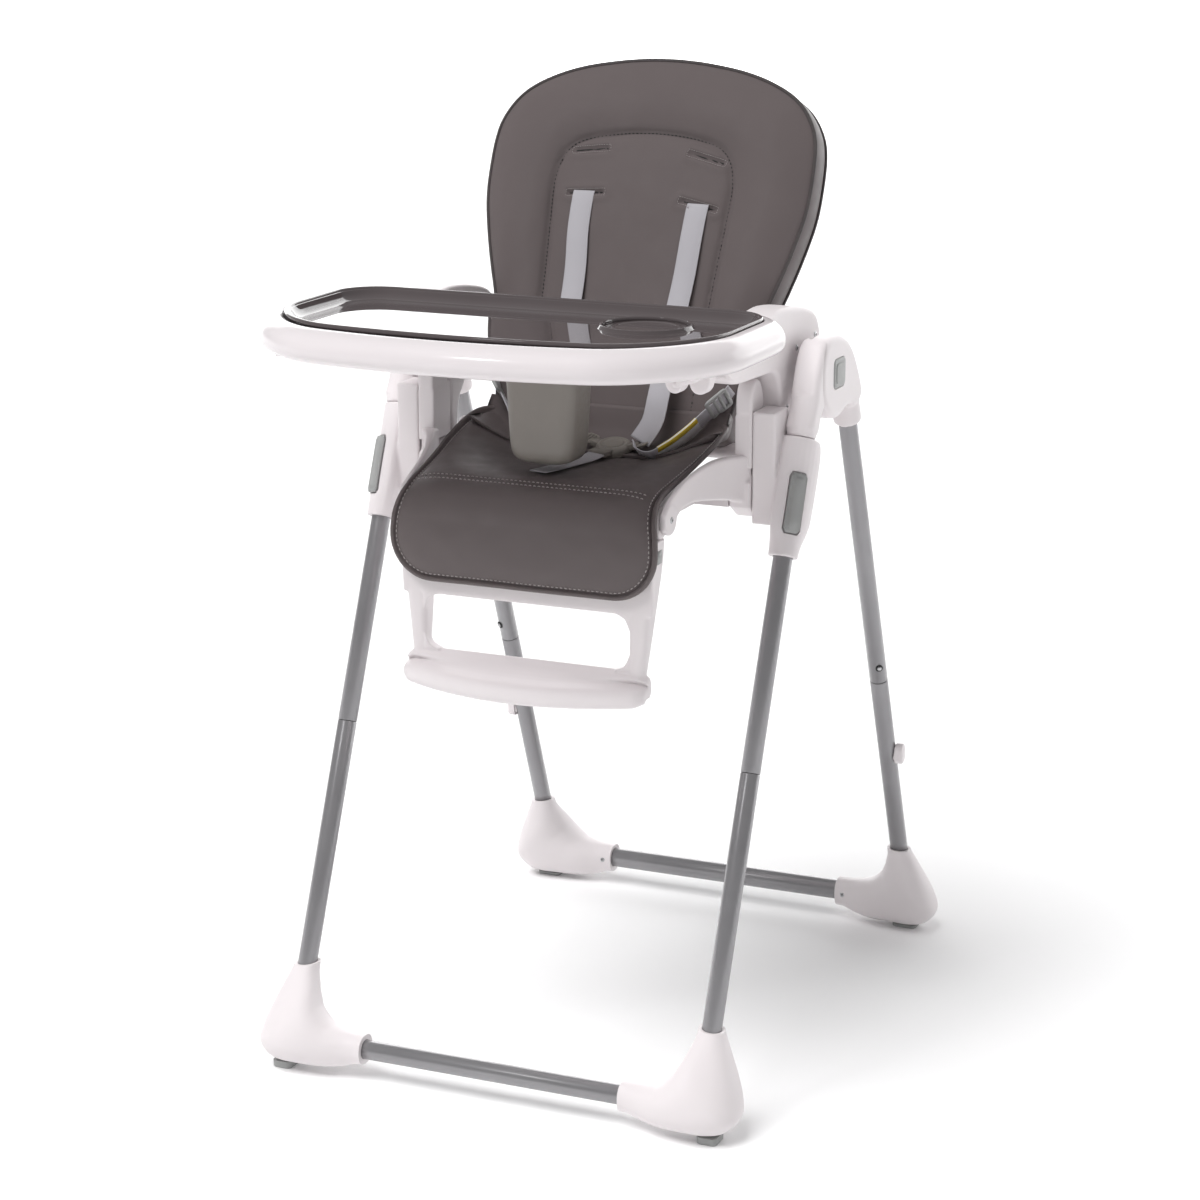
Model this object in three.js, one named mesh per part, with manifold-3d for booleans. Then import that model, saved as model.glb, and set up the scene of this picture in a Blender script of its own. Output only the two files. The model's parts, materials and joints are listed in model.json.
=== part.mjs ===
// Folding baby high chair. Millimetres, +Z up, the seat faces -Y, right is +X as seen from the front.
// Heights are from the floor. Y is measured from the plane where the leg axes cross, then shifted at
// the end so that the whole chair is centred on the origin.
import * as THREE from "three";
import Module from "manifold-3d";

const wasm = await Module();
wasm.setup();

// Driving dimensions
const LEG_X = 250; // leg axis, out from the middle
const TUBE_R = 11;
const REAR_BAR_R = 12.5;
const FLOOR_AXIS_Z = 35; // height of the crossbar axes
const FRONT_BAR_Y = -370;
const REAR_BAR_Y = 345.6;
const APEX = [-4, 914]; // where the leg axes cross (y, z)
const FOLD = [-7, 785]; // fold pivot (y, z)
const HUB_R = 52.5; // round part of the rear hinge cap
const CAP_IN = 233.5; // inner and outer faces of the hinge caps
const CAP_OUT = 266.5;
const CAP_GAP = 242.8; // face between the two interlocking layers
const TRAY = { w: 280.3, rear: -154, front: -444.3, bow: 47.8, rc: 80, rf: 126 };
const INSERT = { w: 255.4, rear: -178.1, front: -419.4, bow: 32.6, rc: 53, rf: 107 };
const TRAY_Z = 839.5; // underside of the tray rim
const RECLINE = [-20, 687]; // backrest pivot (y, z)
const LEGREST = [-245, 655]; // leg rest pivot (y, z)
const BACK_ANGLE = THREE.MathUtils.degToRad(22.5);
const BACK_FOOT = [-52, 700]; // lower end of the backrest's front face (y, z)
const FOOT_REACH = 35; // half the length of a foot
const SHIFT_Y = -(TRAY.front - TRAY.bow + REAR_BAR_Y + FOOT_REACH) / 2;

// A closed body from points and triangles, turned so that it faces outwards.
function solid(points, faces) {
  let volume = 0;
  for (const f of faces) {
    const [a, b, c] = f.map((i) => new THREE.Vector3(...points[i]));
    volume += a.dot(b.cross(c));
  }
  const turned = volume < 0 ? faces.map(([a, b, c]) => [a, c, b]) : faces;
  const shell = new wasm.Mesh({
    numProp: 3,
    vertProperties: new Float32Array(points.flat()),
    triVerts: new Uint32Array(turned.flat()),
  });
  return new wasm.Manifold(shell);
}

// Skins a row of rings with equal point counts and closes both ends.
function loft(rings) {
  const n = rings[0].length;
  const points = rings.flat();
  const faces = [];
  for (let k = 0; k + 1 < rings.length; k++) {
    for (let i = 0; i < n; i++) {
      const a = k * n + i;
      const b = k * n + ((i + 1) % n);
      faces.push([a, b, b + n], [a, b + n, a + n]);
    }
  }
  for (const [k, flip] of [[0, true], [rings.length - 1, false]]) {
    const centre = [0, 1, 2].map((j) => rings[k].reduce((s, p) => s + p[j], 0) / n);
    points.push(centre);
    const c = points.length - 1;
    for (let i = 0; i < n; i++) {
      const a = k * n + i;
      const b = k * n + ((i + 1) % n);
      faces.push(flip ? [b, a, c] : [a, b, c]);
    }
  }
  return solid(points, faces);
}

// A flat outline given a thickness along x, y or z.
function prism(outline, axis, lo, hi) {
  const at = { x: (u, v, w) => [w, u, v], y: (u, v, w) => [u, w, v], z: (u, v, w) => [u, v, w] }[axis];
  const n = outline.length;
  const contour = outline.map((p) => new THREE.Vector2(...p));
  const caps = THREE.ShapeUtils.triangulateShape(contour, []);
  const area = THREE.ShapeUtils.area(contour);
  const points = [lo, hi].flatMap((w) => outline.map(([u, v]) => at(u, v, w)));
  const faces = caps.flatMap(([a, b, c]) => [[a, c, b], [a + n, b + n, c + n]]);
  for (let i = 0; i < n; i++) {
    const j = (i + 1) % n;
    faces.push(...(area > 0 ? [[i, j, j + n], [i, j + n, i + n]] : [[j, i, i + n], [j, i + n, j + n]]));
  }
  return solid(points, faces);
}

function box(x0, x1, y0, y1, z0, z1) {
  return prism([[y0, z0], [y1, z0], [y1, z1], [y0, z1]], "x", x0, x1);
}

// A ring of n points round a centre, across the given direction.
function ring(centre, along, r, n = 20) {
  const d = new THREE.Vector3(...along).normalize();
  const side = Math.abs(d.x) > 0.9 ? new THREE.Vector3(0, 1, 0) : new THREE.Vector3(1, 0, 0);
  const u = side.clone().addScaledVector(d, -side.dot(d)).normalize();
  const v = d.clone().cross(u);
  return Array.from({ length: n }, (_, i) => {
    const a = (i / n) * Math.PI * 2;
    const p = new THREE.Vector3(...centre).addScaledVector(u, r * Math.cos(a));
    return p.addScaledVector(v, r * Math.sin(a)).toArray();
  });
}

function rod(a, b, r, n = 20) {
  const d = b.map((v, i) => v - a[i]);
  return loft([ring(a, d, r, n), ring(b, d, r, n)]);
}

function tube(a, b, r, wall = 1.4) {
  const d = new THREE.Vector3(...b).sub(new THREE.Vector3(...a)).normalize().toArray();
  const past = (p, k) => p.map((v, i) => v + d[i] * k);
  return cut(rod(a, b, r), rod(past(a, -2), past(b, 2), r - wall));
}

// Outline of a rectangle with round corners, half sizes w and h.
function rounded(cx, cy, w, h, r, n = 4) {
  const out = [];
  const corners = [[1, 1, 0], [-1, 1, 90], [-1, -1, 180], [1, -1, 270]];
  for (const [sx, sy, a0] of corners) {
    for (let i = 0; i <= n; i++) {
      const a = THREE.MathUtils.degToRad(a0 + (90 * i) / n);
      out.push([cx + sx * (w - r) + r * Math.cos(a), cy + sy * (h - r) + r * Math.sin(a)]);
    }
  }
  return out;
}

function arc(cx, cy, r, a0, a1, n = 8) {
  return Array.from({ length: n + 1 }, (_, i) => {
    const a = THREE.MathUtils.degToRad(a0 + ((a1 - a0) * i) / n);
    return [cx + r * Math.cos(a), cy + r * Math.sin(a)];
  });
}

function join(first, ...rest) {
  return rest.reduce((sum, m) => sum.add(m), first);
}

function cut(first, ...rest) {
  return rest.reduce((left, m) => left.subtract(m), first);
}

// Leg axes: the point at height z, and the direction upwards.
const axisAt = (barY) => (z) => {
  const run = (APEX[0] - barY) / (APEX[1] - FLOOR_AXIS_Z);
  return [LEG_X, barY + (z - FLOOR_AXIS_Z) * run, z];
};
const frontAt = axisAt(FRONT_BAR_Y);
const rearAt = axisAt(REAR_BAR_Y);

const chair = new THREE.Group();
chair.position.y = SHIFT_Y;

function add(name, body, colour, mirrored = false) {
  const made = body.getMesh();
  const g = new THREE.BufferGeometry();
  g.setAttribute("position", new THREE.BufferAttribute(new Float32Array(made.vertProperties), 3));
  g.setIndex(new THREE.BufferAttribute(new Uint32Array(made.triVerts), 1));
  const flat = g.toNonIndexed();
  flat.computeVertexNormals();
  const mesh = new THREE.Mesh(flat, new THREE.MeshStandardMaterial({ color: colour }));
  mesh.name = name;
  if (mirrored) mesh.scale.x = -1;
  chair.add(mesh);
}

function addPair(name, body, colour) {
  add(name + "_right", body, colour);
  add(name + "_left", body, colour, true);
}

const WHITE = 0xece6e6;
const SILVER = 0x9b9997;
const GREY = 0xa3a5a4;
const DARK = 0x6a6262;
const WEB = 0xc9c7cd;

// Legs: a lower and an upper tube on each side, front and rear, and a crossbar between the feet.
for (const [end, at, joint, top] of [["front", frontAt, 374.5, 745], ["rear", rearAt, 366, 735]]) {
  addPair(end + "_leg_lower", tube(at(100.5), at(joint - 0.2), TUBE_R), SILVER);
  addPair(end + "_leg_upper", tube(at(joint + 0.2), at(top), TUBE_R), SILVER);
}
add("front_crossbar", tube([-175.5, FRONT_BAR_Y, 35], [175.5, FRONT_BAR_Y, 35], TUBE_R), SILVER);
add("rear_crossbar", tube([-175.5, REAR_BAR_Y, 35], [175.5, REAR_BAR_Y, 35], REAR_BAR_R), SILVER);

// Feet: a moulded corner that swells from the crossbar collar to the leg collar.
// Each station has the inner edge (x, z), the outer edge (x, z) and half the depth along Y.
const FOOT = [
  [160, 52, 160, 18, 17],
  [180, 52, 180, 13, 20],
  [202, 57, 215, 8.5, 28],
  [216, 68, 262, 8.5, 34],
  [224, 80, 294.5, 25, FOOT_REACH],
  [230, 94, 288, 62, 27],
  [234.5, 106, 273, 95, 19],
  [235.5, 117, 264.5, 114, 14.8],
];
function foot(at, barY, barR, sole) {
  const rings = FOOT.map(([xi, zi, xo, zo, depth]) => {
    const mid = [(xi + xo) / 2, (zi + zo) / 2];
    const half = [(xo - xi) / 2, (zo - zi) / 2];
    const yc = at(Math.max(mid[1], FLOOR_AXIS_Z))[1];
    return Array.from({ length: 20 }, (_, i) => {
      const a = (i / 20) * Math.PI * 2;
      const c = Math.sign(Math.cos(a)) * Math.abs(Math.cos(a)) ** 0.8;
      const s = Math.sign(Math.sin(a)) * Math.abs(Math.sin(a)) ** 0.8;
      const z = mid[1] + half[1] * c;
      return [mid[0] + half[0] * c, yc + depth * s, z < 30 ? sole + ((z - 8.5) * (30 - sole)) / 21.5 : z];
    });
  });
  const leg = rod(at(100), at(140), TUBE_R + 0.3);
  const bar = rod([150, barY, 35], [176, barY, 35], barR + 0.3);
  return cut(loft(rings), leg, bar);
}
addPair("foot_front", foot(frontAt, FRONT_BAR_Y, TUBE_R, 8.5), WHITE);
addPair("foot_rear", foot(rearAt, REAR_BAR_Y, REAR_BAR_R, 4.5), WHITE);
addPair("foot_pad_front", prism(rounded(262, FRONT_BAR_Y, 12, 14, 6), "z", 0, 8.2), GREY);
addPair("foot_pad_rear", prism(rounded(252, REAR_BAR_Y, 16, 12, 6), "z", 0, 4.2), GREY);

// Hinge caps. The front cap is a sleeve on the front leg with a tongue that reaches in to the fold
// pivot. The rear cap is a round housing over the pivot with a sleeve for the rear leg.
function onLeg(at, z, offset) {
  const run = (at(z + 1)[1] - at(z)[1]) / 1;
  const length = Math.hypot(run, 1);
  return [at(z)[1] + offset / length, z - (offset * run) / length];
}
const frontSleeve = prism(
  [
    onLeg(frontAt, 722.5, -16),
    onLeg(frontAt, 722.5, 16),
    onLeg(frontAt, 780, 17),
    [-38, 829],
    [-52, 824],
    [-66, 800],
    [-76, 770],
  ],
  "x",
  CAP_IN,
  CAP_OUT,
);
const hubClear = rod([CAP_GAP - 0.3, ...FOLD], [CAP_OUT + 1, ...FOLD], HUB_R + 0.6, 48);
const innerClear = prism([[-46, 700], [20, 700], [20, 840], [-46, 840]], "x", CAP_IN - 1, CAP_GAP - 0.3);
const tongue = join(
  rod([CAP_IN, ...FOLD], [CAP_GAP - 0.3, ...FOLD], 34, 32),
  prism([[-64, 766], [-30, 766], [-30, 806], [-54, 806]], "x", CAP_IN, CAP_GAP - 0.3),
);
const frontSocket = rod(frontAt(715), frontAt(745.5), TUBE_R + 0.3);
addPair("hinge_front", cut(join(cut(frontSleeve, hubClear, innerClear), tongue), frontSocket), WHITE);

const rearOutline = [
  ...arc(...FOLD, HUB_R, 212, 140, 8),
  [-36, 827.5],
  [-15, 828.5],
  [6, 826],
  [28, 817],
  [45, 803],
  [58, 790],
  onLeg(rearAt, 764, 17),
  onLeg(rearAt, 714, 16),
  onLeg(rearAt, 714, -16),
  onLeg(rearAt, 750, -17),
];
const buttonHole = prism(rounded(...FOLD, 19.4, 17.4, 7), "x", 255.4, CAP_OUT + 1);
const tongueClear = join(
  rod([CAP_IN - 1, ...FOLD], [CAP_GAP, ...FOLD], 36.5, 32),
  prism([[-70, 700], [2, 700], [2, 840], [-70, 840]], "x", CAP_IN - 1, CAP_GAP),
);
const rearSocket = rod(rearAt(700), rearAt(735.5), TUBE_R + 0.3);
addPair("hinge_rear", cut(prism(rearOutline, "x", CAP_IN, CAP_OUT), buttonHole, tongueClear, rearSocket), WHITE);
addPair("fold_button", prism(rounded(...FOLD, 19, 17, 6.6), "x", 260, 270), GREY);

// Pegs on the rear legs that carry the tray when it is off the chair.
addPair("tray_hook", prism(rounded(rearAt(260)[1], 260, 8, 13, 6), "x", LEG_X + TUBE_R + 0.5, 271), WHITE);

// Height sliders: a body round each front leg with a block reaching inwards, and a squeeze lever.
const sliderOutline = [
  onLeg(frontAt, 598, -16),
  onLeg(frontAt, 598, 16),
  onLeg(frontAt, 634, 17),
  onLeg(frontAt, 664, 30),
  onLeg(frontAt, 700, 30),
  onLeg(frontAt, 718, 16),
  onLeg(frontAt, 718, -17),
  onLeg(frontAt, 704, -21),
  onLeg(frontAt, 622, -21),
];
const sliderBore = rod(frontAt(585), frontAt(730), TUBE_R + 0.4);
// The lever sits on a slanted face at the front outer corner. Its outlines are (x, offset) pairs:
// along runs across the face and deep runs into it.
const onFace = (along, deep) => [250 + 0.8 * along - 0.6 * deep, -21 + 0.6 * along + 0.8 * deep];
const legBlock = (outline, z0, z1) =>
  loft([z0, z1].map((z) => outline.map(([x, offset]) => [x, ...onLeg(frontAt, z, offset)])));
const corner = [onFace(-12, 0), onFace(36, 0), onFace(36, -30), onFace(-12, -30)];
const pocket = [onFace(1.7, 4.7), onFace(23.3, 4.7), onFace(23.3, -3), onFace(1.7, -3)];
const leverFace = [onFace(2.6, 1.2), onFace(22.4, 1.2), onFace(21.4, -1.8), onFace(3.6, -1.8)];
const slider = cut(
  join(prism(sliderOutline, "x", 232.5, 270), box(206.5, 233.1, -122, -78, 632, 755.5)),
  sliderBore,
  legBlock(corner, 612, 712),
  legBlock(pocket, 620.5, 685.5),
);
addPair("slider", slider, WHITE);
addPair("height_lever", legBlock(leverFace, 622, 684), GREY);

// Inner half of each side post, with the round hub that the arm sits over.
const hub = [[-122, 755], [-122, 774], [-116, 785], [-104, 790], [-92, 784], [-84, 770], [-82, 755]];
const post = join(box(185, 206.2, -122, -78, 691, 755.5), prism(hub, "x", 187, 206.2));
addPair("side_post", post, WHITE);

// Armrests: a wing that carries the tray in front and drops behind the side post.
const armOutline = [
  [-235, 803],
  [-235, 829],
  [-150, 829],
  [-138, 846],
  [-118, 859],
  [-81, 865],
  [-35, 861],
  [12, 853],
  [34, 845],
  [45, 832],
  [51, 808],
  [47, 802],
  [27, 801],
  [-2, 780],
  [-31, 770],
  [-39, 747],
  [-56, 728],
  [-60, 691],
  [-76, 691],
  [-77, 757],
  [-80, 776],
  [-89, 792],
  [-104, 798],
  [-150, 799],
];
addPair("armrest", prism(armOutline, "x", 185.5, 224.5), WHITE);

// Side brackets of the seat: a fin that runs forward to the ear of the leg rest pivot.
const FIN = [
  [-262, 153.8, 160, 645, 664],
  [-245, 153.8, 160.5, 640, 676],
  [-215, 155, 163, 650, 690],
  [-185, 160, 172, 655, 699],
  [-155, 170, 187, 652, 704],
  [-124, 180, 206.2, 634, 704],
];
const fin = loft(FIN.map(([y, x0, x1, z0, z1]) => [[x0, y, z0], [x1, y, z0], [x1, y, z1], [x0, y, z1]]));
const ear = rod([153.8, ...LEGREST], [161.5, ...LEGREST], 17, 28);
const sideRail = box(180, 206.2, -125, -40, 632, 690.5);
const pivotBoss = rod([180, ...RECLINE], [200, ...RECLINE], 15, 24);
const bossLink = box(180, 200, -42, -20, 672, 690.5);
addPair("seat_bracket", join(fin, ear, sideRail, pivotBoss, bossLink), WHITE);

// Seat pan and cushion.
const pan = join(box(-139, 139, -254, -120, 646, 656), box(-179.5, 179.5, -123, -45, 646, 656));
const panSide = [[152, 179.5], [-179.5, -152]].map(([x0, x1]) => box(x0, x1, -123, -45, 646, 672));
add("seat_pan", join(pan, ...panSide), WHITE);
const SEAT_PAD = [
  [-256, 148, 671.5, 676],
  [-250, 150, 670.8, 681],
  [-236, 151, 670.6, 684],
  [-228, 151, 670.5, 685],
  [-220, 151, 656.6, 686],
  [-180, 151, 656.6, 686],
  [-80, 150, 656.6, 686],
  [-68, 148, 658, 684],
  [-64, 146, 661, 680],
];
const cushionRing = (y, w, z0, z1) => {
  const mid = (z0 + z1) / 2;
  return rounded(0, mid, w, (z1 - z0) / 2, Math.min(7, (z1 - z0) / 2 - 0.5), 2).map(([x, z]) => [x, y, z]);
};
add("seat_pad", loft(SEAT_PAD.map((p) => cushionRing(...p))), DARK);

// Backrest, drawn in its own plane: x across, s up the slope, n forwards from the front face.
const up = [Math.sin(BACK_ANGLE), Math.cos(BACK_ANGLE)];
const onBack = (x, s, n) => [
  x,
  BACK_FOOT[0] + s * up[0] - n * up[1],
  BACK_FOOT[1] + s * up[1] + n * up[0],
];
const BACK_WIDTH = [
  [8, 142],
  [60, 150],
  [110, 159],
  [157, 169],
  [193, 180],
  [229, 190],
  [271, 199],
  [307, 201.5],
  [350, 200],
  [378, 192],
  [402, 173],
  [420, 143],
  [433, 104],
  [441, 58],
  [444.5, 22],
];
function backFace(x, w) {
  const t = Math.abs(x) / w;
  if (t < 0.52) return -1;
  return -1 + 12 * Math.sin(((t - 0.52) / 0.48) * Math.PI) ** 0.9 - 5 * Math.max(0, (t - 0.8) / 0.2);
}
const across = [-1, -0.94, -0.86, -0.76, -0.66, -0.52, -0.25, 0.25, 0.52, 0.66, 0.76, 0.86, 0.94, 1];
const backRing = (s, w) => [
  ...across.map((t) => onBack(t * w, s, backFace(t * w, w) * Math.min(1, s / 90))),
  ...[1, 0.5, -0.5, -1].map((t) => onBack(t * w, s, -23.5)),
];
add("backrest_pad", loft(BACK_WIDTH.map(([s, w]) => backRing(s, w))), DARK);
const shellRing = (s, w) => {
  const edge = Math.min(12, w * 0.3);
  const rim = [[w, -24], [w, -40], [w - edge, -50], [-w + edge, -50], [-w, -40], [-w, -24]];
  return rim.map(([x, n]) => onBack(x, s, n));
};
const shellBody = loft(BACK_WIDTH.map(([s, w]) => shellRing(s, w - 5)));
const barrel = rod([-179, ...RECLINE], [179, ...RECLINE], 9.5, 20);
const barrelLink = [-1, 1].map((side) => {
  const xs = side > 0 ? [100, 134] : [-134, -100];
  return loft([2, 14].map((s) => [[xs[0], s, -46], [xs[1], s, -46], [xs[1], s, -28], [xs[0], s, -28]].map(
    ([x, up1, n]) => onBack(x, up1, n),
  )));
});
add("backrest_shell", join(shellBody, barrel, ...barrelLink), WHITE);
const handleRing = (s) => rounded(0, -56.5, 44, 5.5, 4, 3).map(([x, n]) => onBack(x, s, n));
add("recline_handle", loft([350, 356, 374, 380].map(handleRing)), GREY);

// Leg rest: two arms on the pivot, the calf frame with its window, and the foot shelf.
const armShape = join(
  rod([141, ...LEGREST], [153.3, ...LEGREST], 15, 28),
  box(141, 153.3, -260, -240, 634.5, 655),
);
addPair("legrest_arm", armShape, WHITE);
const frameSide = [[634, 152], [580, 150], [474, 147], [452, 144]];
const frameOutline = [...frameSide.map(([z, x]) => [x, z]), ...frameSide.map(([z, x]) => [-x, z]).reverse()];
const windowCut = prism(rounded(0, 521.5, 118.5, 31.5, 12, 4), "y", -400, -200);
const frameBlock = cut(
  prism(frameOutline, "y", -275, -236),
  box(-139, 139, -268, -230, 492, 640),
  box(-139, 139, -262, -230, 440, 492),
);
const shelf = loft(
  [-148, -142, -120, -80, -40, 0, 40, 80, 120, 142, 148].map((x) => {
    const t = (x / 148) ** 2;
    const lip = -332 + 42 * t;
    const low = 448.5 + 8 * t;
    const nose = Math.abs(x) > 145 ? 3 : 0;
    return [
      [x, -262, 489 - nose],
      [x, lip + 12, 473 - nose],
      [x, lip + 2 + nose, 469 - nose],
      [x, lip + nose, 460],
      [x, lip + 6 + nose, low + 1 + nose],
      [x, lip + 16, low],
      [x, -262, 456],
    ];
  }),
);
add("footrest_frame", cut(join(frameBlock, shelf), windowCut), WHITE);
const flapY = (z) => -276 - (652 - z) * 0.06;
const flapOutline = [
  [152, 652],
  [154, 628],
  ...arc(105, 625, 49, -10, -90, 6),
  ...arc(-105, 625, 49, -90, -170, 6),
  [-154, 628],
  [-152, 652],
];
const flap = (inset, proud) => flapOutline.map(([x, z]) => {
  const zz = Math.min(652 - inset, Math.max(576 + inset, z));
  return [x * (1 - inset / 154), flapY(zz) - proud, zz];
});
add("legrest_pad", loft([flap(2, 0.4), flap(0, 3), flap(0, 9), flap(3, 12)]), DARK);

// Tray: outline with a bowed front, scaled inwards by an inset.
function trayOutline(o, inset, z, n = 6) {
  const w = o.w - inset;
  const rear = o.rear - inset;
  const front = o.front + inset;
  const rc = Math.max(8, o.rc - inset);
  const rf = Math.max(12, o.rf - inset);
  const half = [];
  for (const [x, y] of arc(w - rc, rear - rc, rc, 90, 0, n)) half.push([x, y]);
  for (const [x, y] of arc(w - rf, front + rf, rf, 0, -90, n + 2)) half.push([x, y]);
  for (let k = 1; k <= 3; k++) half.push([(w - rf) * (1 - k / 3.5), front]);
  const bowed = half.map(([x, y]) => {
    const reach = Math.min(1, Math.max(0, (rear - y) / (rear - front)));
    return [x, y - o.bow * (1 - (x / w) ** 2) * reach ** 3, z];
  });
  return [...bowed, ...bowed.map(([x, y, h]) => [-x, y, h]).reverse()];
}
const stack = (o, levels, n) => loft(levels.map(([inset, z]) => trayOutline(o, inset, z, n)));
const trayBody = stack(TRAY, [[14, TRAY_Z], [5, 843], [0, 851], [3, 860], [10, 868], [17, 873], [21, 875]]);
const trayWell = stack(INSERT, [[-0.5, 846], [-0.5, 880]]);
const trayUnder = stack(TRAY, [[26, TRAY_Z - 1], [26, 841.5]]);
const rails = [[178, 184], [226, 232]].flatMap(([a, b]) => [[a, b], [-b, -a]]);
const trayRails = rails.map(([x0, x1]) => box(x0, x1, -262, -218, 814, 843));
add("tray_base", join(cut(trayBody, trayWell, trayUnder), ...trayRails), WHITE);
const postRing = (z, w, y0, y1) =>
  rounded(0, (y0 + y1) / 2, w, (y1 - y0) / 2, 14, 4).map(([x, y]) => [x, y, z]);
const POST = [
  [700, 26, -229, -189],
  [703, 33, -234, -184],
  [710, 37, -237, -181],
  [722, 38, -238, -180],
  [790, 42, -240, -178],
  [839.2, 45, -242, -176],
];
add("crotch_post", loft(POST.map((p) => postRing(...p))), 0x7b746d);
const leverTabs = [[174, 197, -300, -280], [200, 224, -296, -276]].map(
  ([x0, x1, y0, y1]) => box(x0, x1, y0, y1, 804, 835),
);
addPair("tray_lever", join(box(174, 224, -300, -276, 834, 841), ...leverTabs), WHITE);
const insertBody = stack(INSERT, [[24, 849.5], [21, 852], [6, 868], [0, 872], [0, 876]]);
const insertWell = stack(INSERT, [[24, 864.5], [20, 866], [10, 872], [6, 875], [6, 880]]);
const insertUnder = stack(INSERT, [[32, 848], [32, 861.5]]);
const CUP = [133, -250];
const cupRing = rod([...CUP, 863], [...CUP, 868.5], 50, 36);
const cupWell = rod([...CUP, 864.5], [...CUP, 872], 45, 36);
add("tray_insert", cut(join(cut(insertBody, insertWell, insertUnder), cupRing), cupWell), DARK);

// Harness: flat webbing, a round buckle and the crotch strap.
function webbing(path, width, thick, wide = [1, 0, 0]) {
  const across1 = new THREE.Vector3(...wide).normalize();
  const points = path.map((p) => new THREE.Vector3(...p));
  return loft(points.map((p, i) => {
    const d = points[Math.min(i + 1, points.length - 1)].clone().sub(points[Math.max(i - 1, 0)]).normalize();
    const w = across1.clone().addScaledVector(d, -across1.dot(d)).normalize();
    const t = d.clone().cross(w);
    return [[-1, -1], [1, -1], [1, 1], [-1, 1]].map(([a, b]) => {
      return p.clone().addScaledVector(w, (a * width) / 2).addScaledVector(t, (b * thick) / 2).toArray();
    });
  }));
}
const shoulder = [[70, 282, 1.6], [63, 150, 1.6], [58, 80, 3], [48, 30, 12]].map((p) => onBack(...p));
addPair("shoulder_strap", webbing(shoulder, 24, 1.6), WEB);
add("buckle", rod([14, -98, 687.5], [14, -98, 700], 20, 24), GREY);
const waistPath = [[36.5, -98, 693], [70, -96, 690], [105, -90, 700], [128, -82, 722]];
addPair("waist_strap", webbing(waistPath, 22, 1.6, [0, 1, 0]), WEB);
const tailPath = [[14, -119, 691], [10, -135, 688], [8, -160, 687.4]];
add("crotch_strap", webbing(tailPath, 22, 1.6), WEB);

const root = new THREE.Group();
root.name = "high_chair";
root.add(chair);
export default root;
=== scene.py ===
# %% [markdown]
# # A folding baby high chair, finished in Blender
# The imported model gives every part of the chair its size, its place and the body that it moves with.
# This file builds the parts as they look: rounded mouldings, painted tubes, a padded cover, a harness.
# The first lines load the frame. Every later cell adds one kind of piece to it.

# %% load the frame
import json
import math

import bmesh
import bpy
import numpy as np
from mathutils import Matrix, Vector


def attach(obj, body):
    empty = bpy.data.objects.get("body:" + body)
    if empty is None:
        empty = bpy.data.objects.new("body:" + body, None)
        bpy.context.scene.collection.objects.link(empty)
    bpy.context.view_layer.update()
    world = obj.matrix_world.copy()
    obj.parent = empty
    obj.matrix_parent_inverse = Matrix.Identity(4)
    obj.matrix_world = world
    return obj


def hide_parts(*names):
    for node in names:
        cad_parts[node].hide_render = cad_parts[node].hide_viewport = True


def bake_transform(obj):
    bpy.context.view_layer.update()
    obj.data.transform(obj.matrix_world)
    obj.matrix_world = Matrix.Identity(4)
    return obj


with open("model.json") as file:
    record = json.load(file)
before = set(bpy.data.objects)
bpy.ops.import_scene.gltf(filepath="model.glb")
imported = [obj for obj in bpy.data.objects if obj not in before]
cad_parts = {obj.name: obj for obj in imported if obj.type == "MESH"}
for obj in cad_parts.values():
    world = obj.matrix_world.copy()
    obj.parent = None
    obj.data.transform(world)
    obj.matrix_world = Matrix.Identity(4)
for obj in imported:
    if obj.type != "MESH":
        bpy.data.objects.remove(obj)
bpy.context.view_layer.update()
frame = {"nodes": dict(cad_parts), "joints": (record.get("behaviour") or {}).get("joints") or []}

# %% [markdown]
# ## Millimetres and the frame
# A chair maker works in millimetres, with heights from the floor and lengths from the plane where the
# leg axes cross. The frame is in metres and centred on the chair, so one helper turns the first into
# the second. The shift between them is read from the fold pivot, whose place in both is known.

# %% units and the main places
joint_at = {j["name"]: j for j in frame["joints"]}
FOLD = (-7, 785)  # fold pivot (y, z)
SHIFT = joint_at["fold"]["pos_m"][1] * 1000 - FOLD[0]
RECLINE = (-20, 687)
LEGREST = (-245, 655)
LEG_X = 250
TUBE_R = 11
REAR_BAR_R = 12.5
BAR_Z = 35
FRONT_BAR_Y = -370
REAR_BAR_Y = 345.6
APEX = (-4, 914)
BACK_ANGLE = math.radians(22.5)
BACK_FOOT = (-52, 700)


# %% places on the chair
def metres(points):
    """Points in the chair maker's millimetres as metres in the frame."""
    p = np.array(points, float).reshape(-1, 3)
    p[:, 1] += SHIFT
    return p / 1000


def leg_axis(bar_y):
    """The centre line of a leg: height -> (x, y, z), for the right-hand side."""
    run = (APEX[0] - bar_y) / (APEX[1] - BAR_Z)
    return lambda z: np.array([LEG_X, bar_y + (z - BAR_Z) * run, z])


front_leg = leg_axis(FRONT_BAR_Y)
rear_leg = leg_axis(REAR_BAR_Y)


def off_leg(leg, z, offset):
    """(y, z) beside a leg: offset is measured square to the tube, positive to the rear."""
    run = leg(z + 1)[1] - leg(z)[1]
    length = math.hypot(run, 1)
    return (leg(z)[1] + offset / length, z - offset * run / length)


def on_back(x, s, n):
    """A point of the backrest: x across, s up the slope, n forwards from its front face."""
    up, out = math.sin(BACK_ANGLE), math.cos(BACK_ANGLE)
    return (x, BACK_FOOT[0] + s * up - n * out, BACK_FOOT[1] + s * out + n * up)


print("shift to the frame:", round(SHIFT, 2), "mm; backrest top:", np.round(on_back(0, 446, 0)))

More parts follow.
